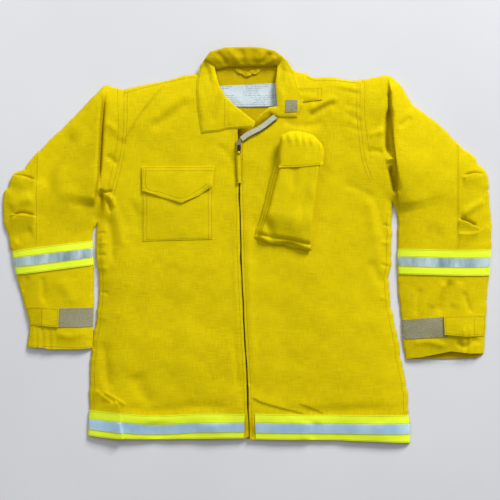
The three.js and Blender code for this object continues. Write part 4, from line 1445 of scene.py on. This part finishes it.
# %% Loop and label
lay("care_label_cloth", points("-62,302 56,307.5 58,264 -16,262.5 -36,268"),
    lambda p: 3.7 + 0.5 * np.sin(p[:, 0] / 15) + 0.3 * np.sin(p[:, 1] / 6), label_cloth, "coat", "care_label",
    "back_cloth", slot="label", thick=0.4, step=3)
loop_path = curve("-22,336 -16,330 -8,328 -3,324 4,325 9,329 16,328 23,335", 5)
loop_line = strip_between(beside(loop_path, 3.6), beside(loop_path, -3.6))
loop_line[:, 1] = np.minimum(loop_line[:, 1], 336.4)  # ends under the collar's edge


def loop_height(p):
    return 4.75 + 0.5 * np.cos((p[:, 0] - 1) / 9) + 0.6 * np.sin(p[:, 0] / 1.9) * np.sin(p[:, 1] / 2.4)


lay("hanger_loop_cloth", loop_line, loop_height, inner_cloth, "hanger", "hanger_loop", "back_cloth", thick=1.2,
    step=1.8)

# %% [markdown]
# ## Cuff closures
# A tab sewn to the sleeve closes on a long loop pad. Its hook pad is underneath, so it shows only when the tab is
# lifted. The tab is one strip of cloth: its sewn end follows the sleeve and its free end turns up.

# %% Cuff tabs and pads
cuffs = {
    "right": dict(tab="-418,-116 -396,-115 -355,-118 -356.5,-154 -396,-151 -412,-150",
                  pad="-362,-119 -291.5,-117.5 -292.5,-153.5 -362,-154",
                  hook="-383,-121 -359,-122 -359,-149 -383,-148", turn=(-0.392, -0.380), sewn=418, seam=-388),
    "left": dict(tab="369,-132 410,-131 452,-131 450,-171 410,-171.5 371,-168",
                 pad="292,-141 376,-134 378,-172 294,-177",
                 hook="373,-137 414,-136 414,-166 375,-164", turn=(0.424, 0.412), sewn=450, seam=428),
}
for side, cuff in cuffs.items():
    tab_line = points(cuff["tab"])
    y = float(tab_line[:, 1].mean()) * MM
    BENDS[side + "_cuff"] = (side + "_sleeve", side + "_cuff_strap", *((x, y, 0.0189) for x in cuff["turn"]))
    cuff["height"] = lambda p, sewn=cuff["sewn"]: upper(p) + 1.3 + 2.9 * ease((sewn - np.abs(p[:, 0]) - 14) / 22)
    loop = side + "_cuff_loop_cloth"
    lay(loop, points(cuff["pad"]), above(1.3), loop_pile, side + "_sleeve_bend", side + "_cuff_loop_pad",
        side + "_sleeve_cloth", slot="loop_pad", thick=1.0, step=3)
    lay(side + "_cuff_hook_cloth", points(cuff["hook"]), above(2.7), hook_rows, side + "_cuff_strap",
        side + "_cuff_hook_pad", loop, slot="hook_pad", thick=1.0, step=4)
    lay(side + "_cuff_tab_cloth", tab_line, cuff["height"], shell_cloth, side + "_cuff",
        f"{side}_cuff_tab {side}_cuff_tab_base", loop, thick=1.3, step=2.6)

# %% [markdown]
# ## Stitching
# Rows of stitches are what make cloth look sewn. Each stitch is a small bit of thread of its own, laid along the
# seam at the cloth's height, at about seven to the inch. They are gathered in one piece for each part they move with.

# %% Stitch rows
STITCH = (2.6, 0.7, 0.5)  # length, width and height of one stitch
PITCH = 3.8
CORNERS = 12  # of one stitch


def stitch(name, rides, rows, finish=shell_thread):
    """One piece from several rows, each (line, height function, sideways offset)."""
    name = "stitches_" + name
    bits = [rail_of_bits(f"{name}_{i}", beside(line, off), height, 0.0, PITCH, STITCH, finish, lift=0.12)
            for i, (line, height, off) in enumerate(rows)]
    count = sum(len(b.data.vertices) for b in bits) // CORNERS
    if len(bits) > 1:
        with bpy.context.temp_override(active_object=bits[0], object=bits[0], selected_editable_objects=bits):
            bpy.ops.object.join()
    bits[0].name = name
    carry(bits[0], rides)
    print(name, count, "stitches")


def row(line, height=upper, *offsets):
    """Rows beside one line, which is typed or given as points."""
    line = spaced(drawn(points(line) if isinstance(line, str) else line), 2.0)
    return [(line, height, off) for off in (offsets or (0.0,))]


def beside_zip(top):
    return [(zip_x(y), y) for y in np.linspace(top, -360, 24)]


stitch("front_right", "coat",
       row(beside_zip(214), upper, -6.5) + row("-236,290 -236,221 -242,174 -251,133 -264,86", upper, 3.0, 9.0)
       + row("-100,319 -121,316 -189,300 -232,289"))
stitch("front_left", "coat",
       row(beside_zip(190), upper, 6.5) + row("216,305 215,251 219,207 225,163 240,122", upper, -3.0, -9.0)
       + row("112,319 130,312 166,312 212,307"))
stitch("chest_pouch", "coat",
       row("-195.5,98 -195.5,11.5", pouch_height, 0, 6.0) + row("-190,11.5 -70,14.5", pouch_height)
       + row("-67.5,14.5 -67.5,108", pouch_height, 0, 6.0))
stitch("chest_flap", "chest_flap",
       row("-196,146 -195.5,105 -160,94 -124,83 -93,97 -69,114", flap_height)
       + row("-190.5,146 -190,109 -160,99.5 -124,89 -96,102 -74,117", flap_height)
       + row("-197,146.5 -63,147", flap_height, 0, -6.0))
stitch("collar_right", "right_leaf", sum((row(line, right_leaf_top) for line in (
    "-85,340 -92,315 -93,292 -91,262 -87,236 -83,216", "-83,215 -54,218 -38,222 8,225", "-43,276 -43,224")), []))
stitch("collar_left", "left_leaf", sum((row(line, left_leaf_top) for line in (
    "74,344 84,326 94,295 101,264 92,246", "90,245.5 60,246")), []))
stitch("right_sleeve", "right_sleeve_bend",
       row("-394,180 -395,104 -395,2", above(0.6), -2.5) + row("-395,-55 -395,-36")
       + row("-416,-189 -386,-190 -321,-193 -296,-191") + row("-246,296 -243,221 -249,174 -262,110"))
stitch("left_sleeve", "left_sleeve_bend",
       row("396,190 396,72 396,-2", above(0.6), 2.5) + row("444,-201 433,-210 400,-211 303,-212")
       + row("222,311 221,251 225,210 232,165"))


def trim_rows(strips, edges, lift, order):
    """Rows along the edges of a band and its stripe: (part, top line or low line, how far from it)."""
    rows = []
    for part, which, drop in order:
        rows += row([(x, y + drop) for x, y in snapped(strips[part][which], edges)], above(lift))
    return rows


hem_order = (("band", 0, -1.6), ("stripe", 0, 1.3), ("stripe", 1, -1.3), ("band", 1, 1.8))
sleeve_order = (("band", 0, -1.6), ("band", 1, 1.8), ("stripe", 0, 1.3), ("stripe", 1, -1.3))
hem_rows = [r for side in hem_lines for r in trim_rows(hem_lines[side], hem_ends[side], HEM_LIFT, hem_order)]
stitch("hem_trim", "coat", hem_rows, trim_thread)
for side in sleeve_bands:
    stitch(side + "_sleeve_trim", side + "_sleeve_bend",
           trim_rows(sleeve_bands[side], sleeve_ends[side], SLEEVE_LIFT, sleeve_order), trim_thread)
for side, cuff in cuffs.items():
    corners = points(cuff["tab"])
    inset = corners.mean(0) + (corners - corners.mean(0)) * [0.93, 0.84]
    low, high = corners[:, 1].min() + 4, corners[:, 1].max() - 4
    stitch(side + "_cuff_tab", side + "_cuff",
           [(spaced(np.vstack([inset, inset[:1]]), 2.0), cuff["height"], 0.0)]
           + row([(cuff["seam"], low), (cuff["seam"], high)], cuff["height"]))
stitch("throat_tab", "collar_tab", sum((row(line, above(2.6)) for line in (
    "106,273.5 139,277", "139,277 139.5,297", "139.5,297 106,295.5", "133,277 133,296")), []))
strap_edges = strap_outline(3.6, -strap_half + 2, strap_half - 2)
stitch("pull_strap", "pull_strap",
       [(spaced(strap_edges[k : k + 2], 1.5), flat_at(strap_level + 1.05), 0.0) for k in (0, 2)])
SEAM_IN = 9.0  # from the coat's edge to its side seam
stitch("side_seams", "coat",
       [(beside(edge, SEAM_IN * s)[4:-4], upper, 0.0) for edge, inward in ((right_side, 1), (left_side, -1))
        for s in (-1, 1) if (beside(edge, SEAM_IN * s)[30, 0] - edge[30, 0]) * inward > 0])
across = np.linspace(-31, 39, 30)
stitch("radio_flap", "radio_flap",
       [(radio_place(across, np.interp(across, [-35, 5, 43.5], [-9.6, -1, 10])), radio_flap_height, 0.0)])

# %% [markdown]
# ## Floor, light and camera
# The coat is seen from straight above, by soft light that comes mostly from the collar's side, so that each fold
# has a bright slope and a darker one. The floor is plain and pale, with only a faint mottle.

# %% Stage
FLOOR_HALF, FLOOR_LEVEL = 14.0, -0.0005
floor_mesh = bpy.data.meshes.new("floor")
floor_corners = [(x * FLOOR_HALF, y * FLOOR_HALF, FLOOR_LEVEL) for x, y in ((-1, -1), (1, -1), (1, 1), (-1, 1))]
floor_mesh.from_pydata(floor_corners, [], [(0, 1, 2, 3)])
floor = bpy.data.objects.new("floor", floor_mesh)
bpy.context.scene.collection.objects.link(floor)
finish, tree, surface, place = new_finish("floor_finish", object_space=True)
mottle = use_group(tree, wear_group, Place=place, Patch_size=0.6)["Fade"]
feed(tree, surface, Base_Color=mix_colour(tree, mottle, srgb(216, 217, 220), srgb(224, 225, 227)), Roughness=0.95,
     Specular_IOR_Level=0.1)
floor_mesh.materials.append(finish)


def soft_light(name, place, aim, size, power, colour=(1, 1, 1)):
    lamp = bpy.data.lights.new(name, "AREA")
    lamp.shape, lamp.size, lamp.energy, lamp.color = "SQUARE", size, power, colour
    holder = bpy.data.objects.new(name, lamp)
    holder.location = place
    holder.rotation_euler = (Vector(aim) - Vector(place)).to_track_quat("-Z", "Y").to_euler()
    bpy.context.scene.collection.objects.link(holder)


soft_light("key", (2.3, 4.0, 2.6), (0.0, 0, 0), 1.7, 325)
soft_light("fill", (-1.3, 1.2, 2.4), (0, 0, 0), 1.8, 16)
world = bpy.data.worlds.new("studio")
world.use_nodes = True
feed(world.node_tree, world.node_tree.nodes["Background"], Color=(0.93, 0.95, 1.0, 1), Strength=0.3)
bpy.context.scene.world = world
bpy.context.scene.view_settings.view_transform = "Standard"

HALF_SPREAD = 0.47 / 2.2  # half of what the camera sees, over its distance
camera_data = bpy.data.cameras.new("overhead")
camera = bpy.data.objects.new("overhead", camera_data)
camera.location = (0.0047, -0.0085, 2.22)
camera_data.sensor_width = 36
camera_data.lens = camera_data.sensor_width / 2 / HALF_SPREAD
camera_data.clip_end = 50
bpy.context.scene.collection.objects.link(camera)
bpy.context.scene.camera = camera
print("camera", round(camera_data.lens, 1), "mm lens")
